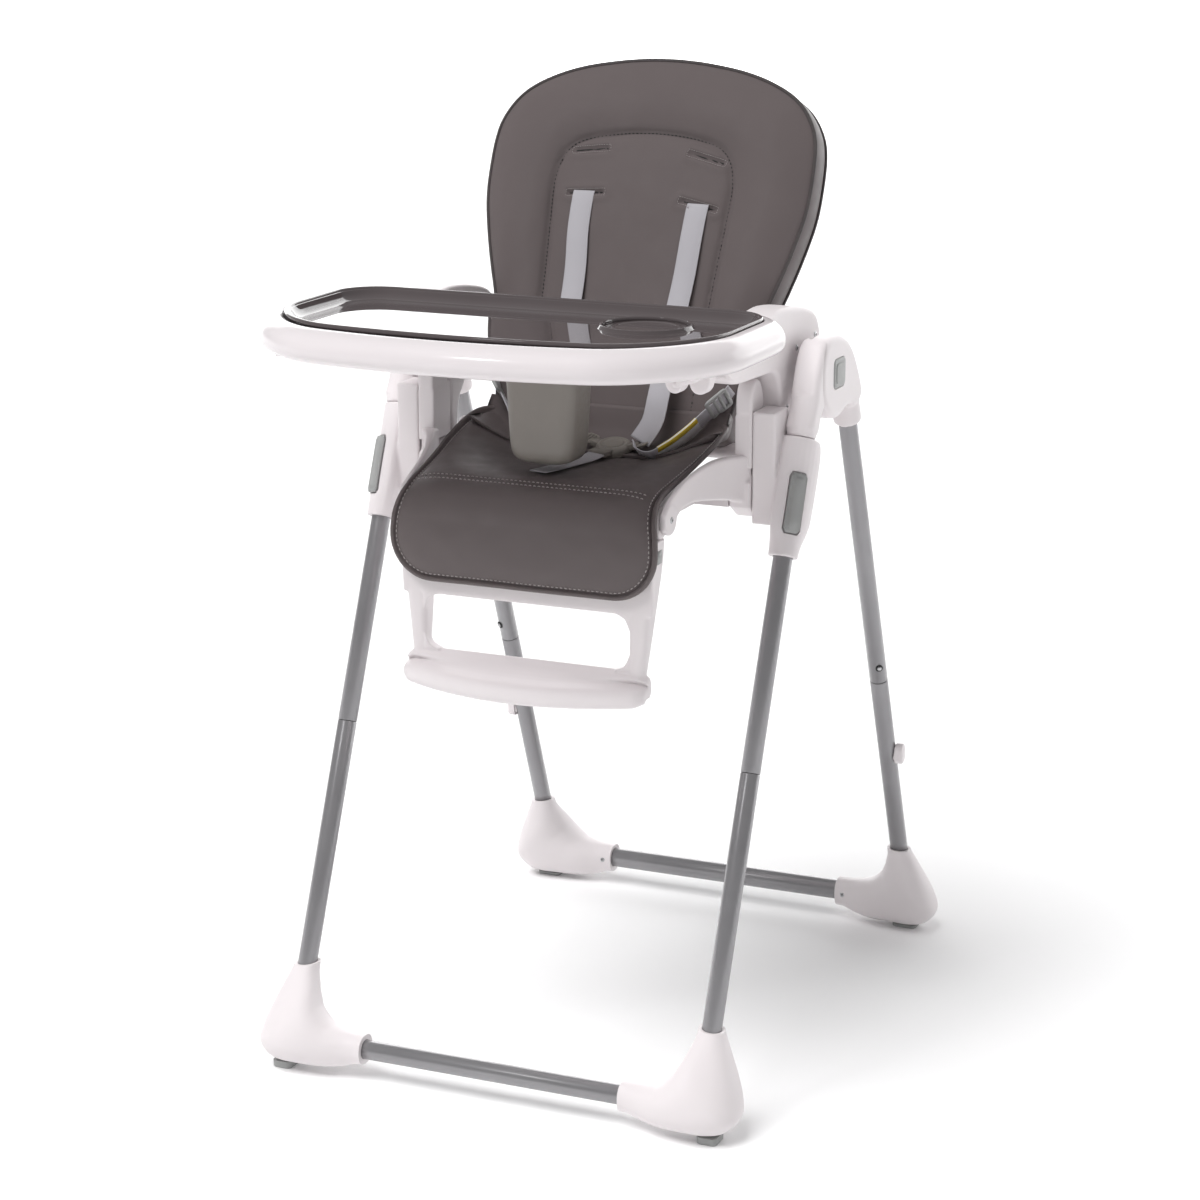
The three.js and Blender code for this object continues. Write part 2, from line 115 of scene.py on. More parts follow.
# %% [markdown]
# ## The camera and the light
# The camera stands a little above the tray and far away, with a long lens, so that the legs stay
# nearly parallel. A very wide, soft sun from above left models the shapes, a small lamp
# gives the tray its highlights, and a white room lights the rest. Far behind the chair stands a white
# card, which the glossy tray mirrors. The floor runs so far back that no edge shows, and a white wall
# stands round it all, so that every view ends in white.

# %% camera
camera_data = bpy.data.cameras.new("camera")
camera_data.lens = 90.97
camera_data.sensor_width = 36
camera = bpy.data.objects.new("camera", camera_data)
camera.location = (1.36873, -3.14625, 1.39598)
camera.rotation_euler = (math.radians(90 - 14.569), 0, math.radians(23.595))
bpy.context.scene.collection.objects.link(camera)
bpy.context.scene.camera = camera
bpy.context.scene.view_settings.view_transform = "Standard"


# %% lamps, room and floor
def lamp(name, place, aim, size, watts):
    data = bpy.data.lights.new(name, "AREA")
    data.shape = "RECTANGLE"
    data.size, data.size_y = size
    data.energy = watts
    made = bpy.data.objects.new(name, data)
    made.location = place
    made.rotation_euler = (Vector(aim) - Vector(place)).to_track_quat("-Z", "Y").to_euler()
    bpy.context.scene.collection.objects.link(made)
    return made


lamp("key", (-1.3, -3.2, 3.4), (0, 0, 0.6), (0.5, 0.35), 9)
sun_data = bpy.data.lights.new("soft_sun", "SUN")
sun_data.energy = 2.55
sun_data.angle = math.radians(38)
sun = bpy.data.objects.new("soft_sun", sun_data)
sun.rotation_euler = (math.radians(24), math.radians(-16), 0)
sun.visible_glossy = False
bpy.context.scene.collection.objects.link(sun)

world = bpy.data.worlds.new("white_room")
world.use_nodes = True
world.node_tree.nodes["Background"].inputs["Color"].default_value = (1.0, 0.995, 1.0, 1)
world.node_tree.nodes["Background"].inputs["Strength"].default_value = 0.36
bpy.context.scene.world = world

FLOOR_SIZE = 90
floor_mesh = bpy.data.meshes.new("floor")
half = FLOOR_SIZE / 2
floor_corners = [(-half, -half, 0), (half, -half, 0), (half, half, 0), (-half, half, 0)]
floor_mesh.from_pydata(floor_corners, [], [(0, 1, 2, 3)])
floor = bpy.data.objects.new("floor", floor_mesh)
bpy.context.scene.collection.objects.link(floor)
card_mesh = bpy.data.meshes.new("white_card")
card_mesh.from_pydata([(-16, 12, 0), (16, 12, 0), (16, 12, 9), (-16, 12, 9)], [], [(0, 1, 2, 3)])
card = bpy.data.objects.new("white_card", card_mesh)
bpy.context.scene.collection.objects.link(card)

# %% wall round the room
WALL_R, WALL_TOP, WALL_SIDES = 21, 12, 64
around = np.arange(WALL_SIDES) / WALL_SIDES * 2 * math.pi
wall_points = [(WALL_R * math.cos(a), WALL_R * math.sin(a), z) for z in (0, WALL_TOP) for a in around]
wall_faces = []
for i in range(WALL_SIDES):
    j = (i + 1) % WALL_SIDES
    wall_faces.append((i, j, WALL_SIDES + j, WALL_SIDES + i))
wall_mesh = bpy.data.meshes.new("white_wall")
wall_mesh.from_pydata(wall_points, [], wall_faces)
wall = bpy.data.objects.new("white_wall", wall_mesh)
bpy.context.scene.collection.objects.link(wall)
# the wall is only looked at: it gives no light, no mirror image and no shadow
wall.visible_diffuse = wall.visible_glossy = wall.visible_shadow = False
print("camera at", [round(v, 2) for v in camera.location], "lens", camera_data.lens)

# %% [markdown]
# ## Finishes
# Each finish is a small node graph around one Principled shader. Numbers that hold all over a surface
# sit on the shader's own sockets. Only what changes from place to place, such as a grain, a weave or
# a slightly uneven gloss, comes from texture nodes, measured in the object's own metres.


# %% a finish and its parts
class Finish:
    """A material under construction: its shader, and helpers that wire textures into it."""

    def __init__(self, name, colour, rough, metal=0.0, coat=0.0, specular=0.5, sheen=0.0):
        self.material = bpy.data.materials.new(name)
        self.material.use_nodes = True
        self.material.diffuse_color = (*colour, 1)
        self.tree = self.material.node_tree
        self.shader = self.tree.nodes["Principled BSDF"]
        self.set("Base Color", (*colour, 1))
        self.set("Roughness", rough)
        self.set("Metallic", metal)
        self.set("Coat Weight", coat)
        self.set("Specular IOR Level", specular)
        self.set("Sheen Weight", sheen)
        self.colour = colour
        self.height = None
        self.coords = self.node("ShaderNodeTexCoord").outputs["Object"]

    def node(self, kind, **inputs):
        made = self.tree.nodes.new(kind)
        for key, value in inputs.items():
            made.inputs[key.replace("_", " ")].default_value = value
        return made

    def set(self, socket, value):
        self.shader.inputs[socket].default_value = value

    def link(self, a, b):
        self.tree.links.new(a, b)

    def scaled(self, scale):
        """The object's coordinates stretched by a scale."""
        mapping = self.node("ShaderNodeMapping", Scale=scale)
        self.link(self.coords, mapping.inputs["Vector"])
        return mapping.outputs["Vector"]

    def noise(self, scale, detail=2.0, stretch=(1, 1, 1)):
        texture = self.node("ShaderNodeTexNoise", Scale=scale, Detail=detail)
        self.link(self.scaled(stretch), texture.inputs["Vector"])
        return texture.outputs["Fac"]

    def cells(self, scale, stretch=(1, 1, 1)):
        texture = self.node("ShaderNodeTexVoronoi", Scale=scale)
        self.link(self.scaled(stretch), texture.inputs["Vector"])
        return texture.outputs["Distance"]

    def ramp(self, value, low, high, start=0.3, end=0.7):
        """Maps a texture value to a range, for a colour or a roughness that varies."""
        mapped = self.node("ShaderNodeMapRange")
        for key, v in (("From Min", start), ("From Max", end), ("To Min", low), ("To Max", high)):
            mapped.inputs[key].default_value = v
        self.link(value, mapped.inputs["Value"])
        return mapped.outputs["Result"]

    def vary_rough(self, value, low, high):
        self.link(self.ramp(value, low, high), self.shader.inputs["Roughness"])

    def vary_colour(self, value, other, start=0.3, end=0.7):
        """Mixes the base colour towards another one where the texture is high."""
        mix = self.node("ShaderNodeMix")
        mix.data_type = "RGBA"
        mix.inputs[6].default_value = (*self.colour, 1)
        mix.inputs[7].default_value = (*other, 1)
        self.link(self.ramp(value, 0, 1, start, end), mix.inputs[0])
        self.link(mix.outputs[2], self.shader.inputs["Base Color"])

    def bump(self, value, depth, strength=1.0):
        """Raises the surface by depth metres where the texture is high. Calls stack up."""
        bump = self.node("ShaderNodeBump", Strength=strength, Distance=depth)
        self.link(value, bump.inputs["Height"])
        if self.height is not None:
            self.link(self.height, bump.inputs["Normal"])
        self.height = bump.outputs["Normal"]
        self.link(self.height, self.shader.inputs["Normal"])


# %% white plastic
def white_moulding():
    """Satin white ABS: a fine mould grain and a faint warm drift in colour."""
    f = Finish("white_moulding", (0.77, 0.725, 0.735), 0.42)
    f.vary_colour(f.noise(4, 2), (0.755, 0.71, 0.72))
    f.vary_rough(f.noise(9, 1), 0.40, 0.45)
    f.bump(f.noise(1600, 1), 0.00003, 0.15)
    return f.material


def white_gloss():
    """The tray's polished white ABS."""
    f = Finish("white_gloss", (0.73, 0.685, 0.697), 0.2, coat=0.3)
    f.vary_colour(f.noise(4, 2), (0.72, 0.675, 0.687))
    f.vary_rough(f.noise(6, 1), 0.17, 0.22)
    f.bump(f.noise(20, 1), 0.0001, 0.02)
    return f.material


# %% paint and grey plastic
def tube_paint():
    """Silver-grey powder paint on steel: satin, with a slightly uneven colour and gloss."""
    f = Finish("tube_paint", (0.27, 0.265, 0.275), 0.3, metal=0.6, coat=0.3)
    f.set("Coat Roughness", 0.12)
    f.vary_colour(f.noise(14, 2), (0.30, 0.295, 0.305))
    f.vary_rough(f.noise(60, 1), 0.29, 0.32)
    return f.material


def soft_grey():
    """Grey ABS of the buttons and levers, with a spark-eroded satin texture."""
    f = Finish("soft_grey", (0.36, 0.365, 0.36), 0.45)
    f.vary_colour(f.noise(30, 2), (0.33, 0.335, 0.33))
    f.vary_rough(f.noise(200, 2), 0.4, 0.52)
    f.bump(f.cells(1400), 0.0001, 0.3)
    return f.material


def warm_grey():
    """Warm grey plastic of the buckle parts and the post between the legs."""
    f = Finish("warm_grey", (0.215, 0.195, 0.175), 0.42)
    f.vary_colour(f.noise(12, 3), (0.195, 0.178, 0.16))
    f.vary_rough(f.noise(150, 2), 0.36, 0.48)
    f.bump(f.cells(1200), 0.0001, 0.25)
    return f.material


# %% polished dark plastic
def dark_gloss():
    """The tray insert: dark brown-grey ABS polished like a mirror."""
    f = Finish("dark_gloss", (0.085, 0.070, 0.072), 0.03, coat=0.6, specular=0.3)
    f.set("Coat IOR", 1.5)
    f.set("Coat Roughness", 0.01)
    f.vary_colour(f.noise(7, 2), (0.092, 0.077, 0.079))
    f.vary_rough(f.noise(25, 2), 0.02, 0.04)
    f.bump(f.noise(9, 1), 0.0001, 0.02)
    return f.material


# %% cover, binding and thread
def pad_cover():
    """Coated leather cloth: fine pebble grain, soft wrinkles, and a colour that drifts a little."""
    f = Finish("pad_cover", (0.122, 0.102, 0.102), 0.46, sheen=0.04, specular=0.35)
    f.set("Sheen Roughness", 0.5)
    f.vary_colour(f.noise(5, 4), (0.113, 0.094, 0.094))
    f.vary_rough(f.noise(70, 3), 0.42, 0.52)
    f.bump(f.noise(18, 2), 0.0009, 0.12)
    f.bump(f.cells(1050), 0.00016, 0.25)
    return f.material


def binding_cloth():
    """Darker, tighter strip of the same cloth that binds the edges."""
    f = Finish("binding_cloth", (0.07, 0.06, 0.06), 0.52, sheen=0.05)
    f.vary_colour(f.noise(40, 3), (0.058, 0.05, 0.05))
    f.vary_rough(f.noise(90, 3), 0.46, 0.58)
    f.bump(f.cells(1100), 0.0002, 0.35)
    return f.material


def thread():
    """Polyester thread: a light taupe with a twist along each stitch."""
    f = Finish("thread", (0.46, 0.42, 0.415), 0.6, sheen=0.2)
    f.vary_colour(f.noise(700, 2), (0.38, 0.345, 0.34))
    f.bump(f.noise(2500, 1), 0.0001, 0.4)
    return f.material


# %% woven tape
def webbing():
    """Woven polyester tape: fine diagonal twill ribs with a silver sheen."""
    f = Finish("webbing", (0.50, 0.485, 0.515), 0.42, sheen=0.25, specular=0.4)
    twill = f.node("ShaderNodeTexWave", Scale=320.0, Distortion=0.6)
    twill.bands_direction = "DIAGONAL"
    f.link(f.scaled((1, 0.7, 1)), twill.inputs["Vector"])
    f.vary_colour(twill.outputs["Fac"], (0.36, 0.35, 0.375), 0.1, 0.9)
    f.bump(twill.outputs["Fac"], 0.00025, 0.5)
    f.bump(f.noise(900, 2), 0.0001, 0.3)
    return f.material


# %% steel, recesses and labels
def bare_steel():
    """Zinc-plated screws and snap pins."""
    f = Finish("bare_steel", (0.55, 0.55, 0.56), 0.28, metal=1.0)
    f.vary_rough(f.noise(900, 2), 0.2, 0.38)
    f.bump(f.noise(1300, 2), 0.00005, 0.3)
    return f.material


def black_recess():
    """Unlit recess of a screw or the shadow gap of a latch."""
    f = Finish("black_recess", (0.02, 0.02, 0.021), 0.6)
    f.vary_colour(f.noise(300, 2), (0.03, 0.03, 0.03))
    f.bump(f.noise(800, 2), 0.0001, 0.3)
    return f.material


def label_cloth(name, colour):
    """A plain sewn-in band of printed tape, with no lettering on it."""
    f = Finish(name, colour, 0.55)
    f.vary_colour(f.noise(250, 2), tuple(c * 0.92 for c in colour))
    f.bump(f.noise(1400, 2), 0.0001, 0.3)
    return f.material


# %% floor and card
def pale_floor():
    """The studio floor: almost white, with a breath of unevenness."""
    f = Finish("pale_floor", (0.96, 0.96, 0.962), 0.9, specular=0.0)
    f.vary_colour(f.noise(1.2, 2), (0.95, 0.95, 0.952))
    f.bump(f.noise(40, 2), 0.0003, 0.1)
    return f.material


def lit_card():
    """A white sheet far behind the chair that glows a little, for polished parts to mirror."""
    f = Finish("lit_card", (0.95, 0.95, 0.95), 0.9, specular=0.0)
    f.set("Emission Color", (1, 1, 1, 1))
    f.set("Emission Strength", 1.35)
    f.vary_colour(f.noise(2, 1), (0.94, 0.94, 0.94))
    return f.material


# %% one material of each finish
WHITE = white_moulding()
WHITE_GLOSS = white_gloss()
PAINT = tube_paint()
GREY = soft_grey()
TAUPE = warm_grey()
GLOSS = dark_gloss()
COVER = pad_cover()
BINDING = binding_cloth()
THREAD = thread()
TAPE = webbing()
STEEL = bare_steel()
BLACK = black_recess()
LABEL_PALE = label_cloth("label_pale", (0.72, 0.72, 0.70))
LABEL_WARM = label_cloth("label_warm", (0.75, 0.55, 0.05))
floor.data.materials.append(pale_floor())
card.data.materials.append(lit_card())
wall.data.materials.append(card.data.materials[0])
SLOT_OF = {
    "white_moulding": "white_plastic",
    "white_gloss": "white_plastic",
    "tube_paint": "tube_paint",
    "soft_grey": "grey_plastic",
    "warm_grey": "taupe_plastic",
    "dark_gloss": "dark_plastic",
    "pad_cover": "pad_cover",
    "binding_cloth": "pad_cover",
    "webbing": "webbing",
}
print("finishes:", len(bpy.data.materials))

# %% [markdown]
# ## From points to pieces
# Nearly every piece below starts as rings of points that are skinned into a closed body. Building the
# mesh from numbers keeps the shape exact, and the same few helpers serve tubes, shells and cushions.


# %% skins, plates and rods
def skin(rings, closed_ends=True):
    """Quads between rings of equal length, with a fan over each end."""
    rings = [np.asarray(r, float).reshape(-1, 3) for r in rings]
    n = len(rings[0])
    points = [p for r in rings for p in r]
    faces = []
    for k in range(len(rings) - 1):
        for i in range(n):
            j = (i + 1) % n
            faces.append((k * n + i, k * n + j, (k + 1) * n + j, (k + 1) * n + i))
    if closed_ends:
        for k in (0, len(rings) - 1):
            points.append(rings[k].mean(0))
            c = len(points) - 1
            faces += [(k * n + i, k * n + (i + 1) % n, c) for i in range(n)]
    return np.array(points), faces


def join_shells(*shells):
    """Several (points, faces) shells as one."""
    points, faces, start = [], [], 0
    for p, f in shells:
        points.append(np.asarray(p, float))
        faces += [tuple(i + start for i in face) for face in f]
        start += len(p)
    return np.vstack(points), faces


# %% curves and outlines
def smooth_row(stations, steps):
    """Catmull-Rom curve through rows of numbers, with some steps between neighbours."""
    rows = np.array(stations, float)
    rows = np.vstack([2 * rows[0] - rows[1], rows, 2 * rows[-1] - rows[-2]])
    out = []
    for a, b, c, d in zip(rows, rows[1:], rows[2:], rows[3:]):
        for t in np.arange(steps) / steps:
            square = (2 * a - 5 * b + 4 * c - d) * t**2
            cube = (3 * b - a - 3 * c + d) * t**3
            out.append(0.5 * (2 * b + (c - a) * t + square + cube))
    out.append(rows[-2])
    return np.array(out)


def soften(outline, times=3, ratio=0.25):
    """Cuts the corners of a closed outline again and again, so that they turn round."""
    p = np.array(outline, float)
    for _ in range(times):
        q = np.roll(p, -1, 0)
        p = np.stack([p + (q - p) * ratio, q - (q - p) * ratio], 1).reshape(-1, p.shape[1])
    return p


def evenly(outline, count, closed=True):
    """The same line with points at equal distances."""
    p = np.array(outline, float)
    if closed:
        p = np.vstack([p, p[:1]])
    reach = np.concatenate([[0], np.cumsum(np.linalg.norm(np.diff(p, axis=0), axis=1))])
    at = np.linspace(0, reach[-1], count, endpoint=not closed)
    return np.stack([np.interp(at, reach, p[:, k]) for k in range(p.shape[1])], 1)


def outward(outline):
    """Unit normals of a closed flat outline, pointing away from its inside."""
    p = np.array(outline, float)
    along = np.roll(p, -1, 0) - np.roll(p, 1, 0)
    along /= np.maximum(np.linalg.norm(along, axis=1, keepdims=True), 1e-9)
    q = np.roll(p, -1, 0)
    area = (p[:, 0] * q[:, 1] - q[:, 0] * p[:, 1]).sum()
    side = 1 if area > 0 else -1
    return np.stack([along[:, 1], -along[:, 0]], 1) * side


TURNS = {"x": (2, 0, 1), "y": (0, 2, 1), "z": (0, 1, 2)}


# %% flat plates
def lay(flat, axis, w):
    """Flat points (u, v) at distance w along an axis."""
    full = np.column_stack([flat, np.full(len(flat), float(w))])
    return full[:, TURNS[axis]]


def plate(outline, axis, low, high, edge=3.0, edge_low=None, steps=5, rounds=3):
    """A flat moulding of any outline whose two rims are rolled to a radius."""
    flat = soften(outline, rounds) if rounds else np.array(outline, float)
    out = outward(flat)
    edge_low = edge if edge_low is None else edge_low
    rings = []
    for k in range(steps + 1):
        a = k / steps * math.pi / 2
        rings.append(
            lay(flat - out * edge_low * (1 - math.sin(a)), axis, low + edge_low * (1 - math.cos(a)))
        )
    for k in range(steps + 1):
        a = (1 - k / steps) * math.pi / 2
        rings.append(lay(flat - out * edge * (1 - math.sin(a)), axis, high - edge * (1 - math.cos(a))))
    return skin(rings)


def round_corners(cx, cy, w, h, r, n=6):
    """A rectangle with round corners, half sizes w and h."""
    out = []
    for sx, sy, start in ((1, 1, 0), (-1, 1, 90), (-1, -1, 180), (1, -1, 270)):
        for i in range(n + 1):
            a = math.radians(start + 90 * i / n)
            out.append((cx + sx * (w - r) + r * math.cos(a), cy + sy * (h - r) + r * math.sin(a)))
    return out


# %% turned and swept shapes
def circle(centre, along, r, n=48):
    d = Vector(along).normalized()
    side = Vector((0, 1, 0)) if abs(d.x) > 0.9 else Vector((1, 0, 0))
    u = (side - d * side.dot(d)).normalized()
    v = d.cross(u)
    a = np.arange(n) / n * 2 * math.pi
    return np.array(centre, float) + r * (np.outer(np.cos(a), u) + np.outer(np.sin(a), v))


def turned(start, along, profile, n=48):
    """A turned body: profile is (distance along the axis, radius) from one end to the other."""
    d = np.array(Vector(along).normalized())
    return skin([circle(np.array(start, float) + d * t, along, max(r, 0.01), n) for t, r in profile])


def rod(a, b, r, n=48, edge=0.8):
    """A round bar with slightly broken ends."""
    d = np.array(b, float) - np.array(a, float)
    length = float(np.linalg.norm(d))
    ends = [(0, r - edge), (edge * 0.3, r - edge * 0.3), (edge, r)]
    return turned(a, d, ends + [(length - t, q) for t, q in reversed(ends)], n)


def sweep(path, section, wide=None):
    """Carries a flat section (across, thick) along a path. wide is the direction of 'across'."""
    path = np.array(path, float)
    along = np.gradient(path, axis=0)
    along /= np.linalg.norm(along, axis=1, keepdims=True)
    rings = []
    across = np.array(wide if wide is not None else (1, 0, 0), float)
    for p, d in zip(path, along):
        across_now = across - d * across.dot(d)
        across_now /= np.linalg.norm(across_now)
        if wide is None:
            across = across_now
        thick = np.cross(d, across_now)
        rings.append([p + across_now * u + thick * v for u, v in section])
    return rings


def cord_section(r, n=12):
    return [(r * math.cos(i / n * 2 * math.pi), r * math.sin(i / n * 2 * math.pi)) for i in range(n)]


# %% from shells to named pieces
def link_mesh(name, points, faces, finish):
    """A closed shell in millimetres as a smooth-shaded object with outward faces."""
    mesh = bpy.data.meshes.new(name)
    mesh.from_pydata(metres(points).tolist(), [], [list(map(int, f)) for f in faces])
    work = bmesh.new()
    work.from_mesh(mesh)
    bmesh.ops.remove_doubles(work, verts=work.verts, dist=1e-6)
    bmesh.ops.recalc_face_normals(work, faces=work.faces)
    for face in work.faces:
        face.smooth = True
    work.to_mesh(mesh)
    work.free()
    made = bpy.data.objects.new(name, mesh)
    bpy.context.scene.collection.objects.link(made)
    mesh.materials.append(finish)
    return made


def crisp(made, degrees=40):
    """Keeps edges sharper than an angle from being shaded round."""
    mesh = made.data
    work = bmesh.new()
    work.from_mesh(mesh)
    for edge in work.edges:
        edge.smooth = edge.is_manifold and edge.calc_face_angle(0) < math.radians(degrees)
    work.to_mesh(mesh)
    work.free()
    return made


# %% moulded solids and cut-outs
def settle(made):
    """Applies the modifiers of an object to its mesh."""
    seen = made.evaluated_get(bpy.context.evaluated_depsgraph_get())
    mesh = bpy.data.meshes.new_from_object(seen)
    made.modifiers.clear()
    made.data = mesh
    return made


def moulded(made, voxel=1.4, passes=8, factor=0.5):
    """Melts overlapping shells into one skin with filleted joints, as a moulding has."""
    remesh = made.modifiers.new("union", "REMESH")
    remesh.mode = "VOXEL"
    remesh.voxel_size = voxel / 1000
    remesh.use_smooth_shade = True
    relax = made.modifiers.new("relax", "SMOOTH")
    relax.factor = factor
    relax.iterations = passes
    return settle(made)


def carve(made, *cutters):
    """Cuts closed shells out of a piece."""
    for k, (points, faces) in enumerate(cutters):
        tool = link_mesh("cutter", points, faces, made.data.materials[0])
        boolean = made.modifiers.new("cut", "BOOLEAN")
        boolean.object = tool
        boolean.operation = "DIFFERENCE"
        boolean.solver = "EXACT"
        settle(made)
        bpy.data.objects.remove(tool)
    return made


# %% pieces and their bodies
def belongs(made, body, nodes=(), slot=None):
    """Rides on a body and stands for its CAD nodes."""
    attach(made, body)
    if nodes:
        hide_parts(*nodes)
    slot = slot or SLOT_OF.get(made.data.materials[0].name)
    return made


def mirrored(made, name):
    """The left-hand twin of a right-hand piece."""
    mesh = made.data.copy()
    co = np.zeros(len(mesh.vertices) * 3)
    mesh.vertices.foreach_get("co", co)
    co = co.reshape(-1, 3)
    co[:, 0] *= -1
    mesh.vertices.foreach_set("co", co.ravel())
    mesh.flip_normals()
    twin = bpy.data.objects.new(name, mesh)
    bpy.context.scene.collection.objects.link(twin)
    return twin


def pair(made, body, node=None, slot=None):
    """A right-hand piece and its twin. '#' in the body's name becomes r or l."""
    base = made.name
    twin = mirrored(made, base + "_left_side")
    made.name = base + "_right_side"
    for piece, side in ((made, "right"), (twin, "left")):
        nodes = (node + "_" + side,) if node else ()
        belongs(piece, body.replace("#", side[0]), nodes, slot)
    return made, twin


# %% [markdown]
# ## Screws and stitches
# Small repeated things make a model believable. A screw is a domed head with a crossed slot. A stitch
# is a short thread that rises out of the cloth and dips back in. Both are made many at a time, so
# that one mesh holds all the screws of a body or all the stitches of a row.


# %% screws
def screw_shells(place, facing, r=3.4):
    """A pan head and its crossed slot, at a point of a surface."""
    d = np.array(Vector(facing).normalized())
    place = np.array(place, float)
    profile = [(0, r + 0.5), (0.9, r + 0.5), (0.95, r), (1.7, r * 0.82), (2.0, r * 0.5)]
    head = turned(place - d * 0.6, facing, profile, 24)
    side = Vector((0, 0, 1)) if abs(d[2]) < 0.9 else Vector((1, 0, 0))
    u = np.array((side - Vector(d) * side.dot(Vector(d))).normalized())
    v = np.cross(d, u)
    bars = []
    for a, b in ((u, v), (v, u)):
        corners = [a * r * 0.55 * i + b * r * 0.13 * j for i, j in ((1, 1), (1, -1), (-1, -1), (-1, 1))]
        bars.append(skin([[place + c + d * h for c in corners] for h in (0.2, 1.62)]))
    return head, join_shells(*bars)


def screws(name, spots, body):
    """All the screws of one body, with their slots in a second material."""
    heads, slots = zip(*[screw_shells(p, d, r) for p, d, r in spots])
    head_points, head_faces = join_shells(*heads)
    points, faces = join_shells((head_points, head_faces), *slots)
    made = link_mesh(name, points, faces, STEEL)
    made.data.materials.append(BLACK)
    low = set(range(len(head_points), len(points)))
    mesh = made.data
    for polygon, face in zip(mesh.polygons, faces):
        if face[0] in low:
            polygon.material_index = 1
    return belongs(crisp(made, 35), body, slot="tube_paint")


# %% stitches
def stitches(name, path, facing, body, length=3.0, gap=1.5, r=0.42, finish=None, sink=0.1):
    """A row of stitches along a path. facing gives the outward direction at each of its points."""
    path, facing = np.array(path, float), np.array(facing, float)
    reach = np.concatenate([[0], np.cumsum(np.linalg.norm(np.diff(path, axis=0), axis=1))])
    count = max(1, int(reach[-1] / (length + gap)))
    shells = []

    def look(table, t):
        return np.array([np.interp(t, reach, table[:, k]) for k in range(3)])

    for i in range(count):
        t0 = i * (length + gap)
        rings = []
        for share, size in ((0, 0.35), (0.2, 0.9), (0.5, 1.0), (0.8, 0.9), (1, 0.35)):
            t = t0 + share * length
            p = look(path, t)
            out = look(facing, t)
            out /= np.linalg.norm(out)
            d = look(path, t + 0.5) - look(path, t - 0.5)
            d /= max(np.linalg.norm(d), 1e-9)
            side = np.cross(d, out)
            mid = p + out * (r * 0.9 * math.sin(math.pi * share) - sink)
            ring = []
            for k in range(6):
                a = k / 6 * 2 * math.pi
                ring.append(mid + r * size * (math.cos(a) * side + math.sin(a) * out))
            rings.append(ring)
        shells.append(skin(rings))
    made = link_mesh(name, *join_shells(*shells), finish or THREAD)
    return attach(made, body) if body else made

# %% [markdown]
# ## The tubes
# The legs are drawn steel tube in two lengths each, joined by a sleeve inside, so a fine line runs
# round every leg at half height. A turned shell with many sides looks smoother than the frame's own
# tube, and it stands exactly where that one does.


# %% legs and crossbars
def leg_tubes(end, leg, joint_z, top_z, body):
    for part, low, high in (("lower", 100.5, joint_z - 0.25), ("upper", joint_z + 0.25, top_z)):
        made = link_mesh(f"{end}_{part}_tube", *rod(leg(low), leg(high), TUBE_R, 64, 0.7), PAINT)
        pair(crisp(made, 50), body, f"{end}_leg_{part}")
    neck = rod(leg(joint_z - 2), leg(joint_z + 2), TUBE_R - 0.7, 48, 0.1)
    pair(link_mesh(f"{end}_joint_line", *neck, BLACK), body, slot="tube_paint")


leg_tubes("front", front_leg, 374.5, 745, "front_frame")
leg_tubes("rear", rear_leg, 366, 735, "rear_frame")
BAR_END = 175.5
for end, bar_y, radius in (("front", FRONT_BAR_Y, TUBE_R), ("rear", REAR_BAR_Y, REAR_BAR_R)):
    shell = rod((-BAR_END, bar_y, BAR_Z), (BAR_END, bar_y, BAR_Z), radius, 64, 0.7)
    belongs(crisp(link_mesh(end + "_bar", *shell, PAINT), 50), end + "_frame", (end + "_crossbar",))

# %% [markdown]
# ## Snap pins and tray pegs
# A sprung steel pin locks each rear leg's sleeve, in a dark rubber ring. Further down, an oval peg on
# each rear leg carries the tray when it is off the chair.

# %% pins and pegs
PIN_Z = 388
rear_square = np.array([0, *(np.array(off_leg(rear_leg, PIN_Z, 1)) - rear_leg(PIN_Z)[1:])])
rear_square /= np.linalg.norm(rear_square)
pin_face = np.array([0.55, 0, 0]) - 0.84 * rear_square
pin_face /= np.linalg.norm(pin_face)
pin_foot = rear_leg(PIN_Z) + pin_face * (TUBE_R - 0.8)
grommet = turned(pin_foot, pin_face, [(0, 4.6), (1.2, 4.6), (1.7, 4.1), (1.75, 3.2), (0.8, 2.6)], 32)
pair(link_mesh("pin_grommet", *grommet, BLACK), "rear_frame", slot="grey_plastic")
pin = turned(pin_foot, pin_face, [(0, 2.7), (2.2, 2.7), (2.9, 2.3), (3.4, 1.5), (3.6, 0.4)], 32)
pair(link_mesh("snap_pin", *pin, STEEL), "rear_frame", slot="tube_paint")

peg_y = rear_leg(260)[1]
peg = plate(round_corners(peg_y, 260, 8, 13, 7.5), "x", 261.3, 271, 2.6, 0.8, rounds=1)
stem = plate(round_corners(peg_y, 260, 5, 9, 4.5), "x", 258.5, 262.5, 0.3, rounds=1)
pair(link_mesh("tray_peg", *join_shells(stem, peg), WHITE), "rear_frame", "tray_hook")

# %% [markdown]
# ## The feet
# Each foot is one hollow moulding that turns the corner from the crossbar to the leg. It swells to a
# broad toe on the floor. A loft between the round bar collar and the round leg collar makes it: every
# station says where the inner and outer edge of the section lie and how deep it is.

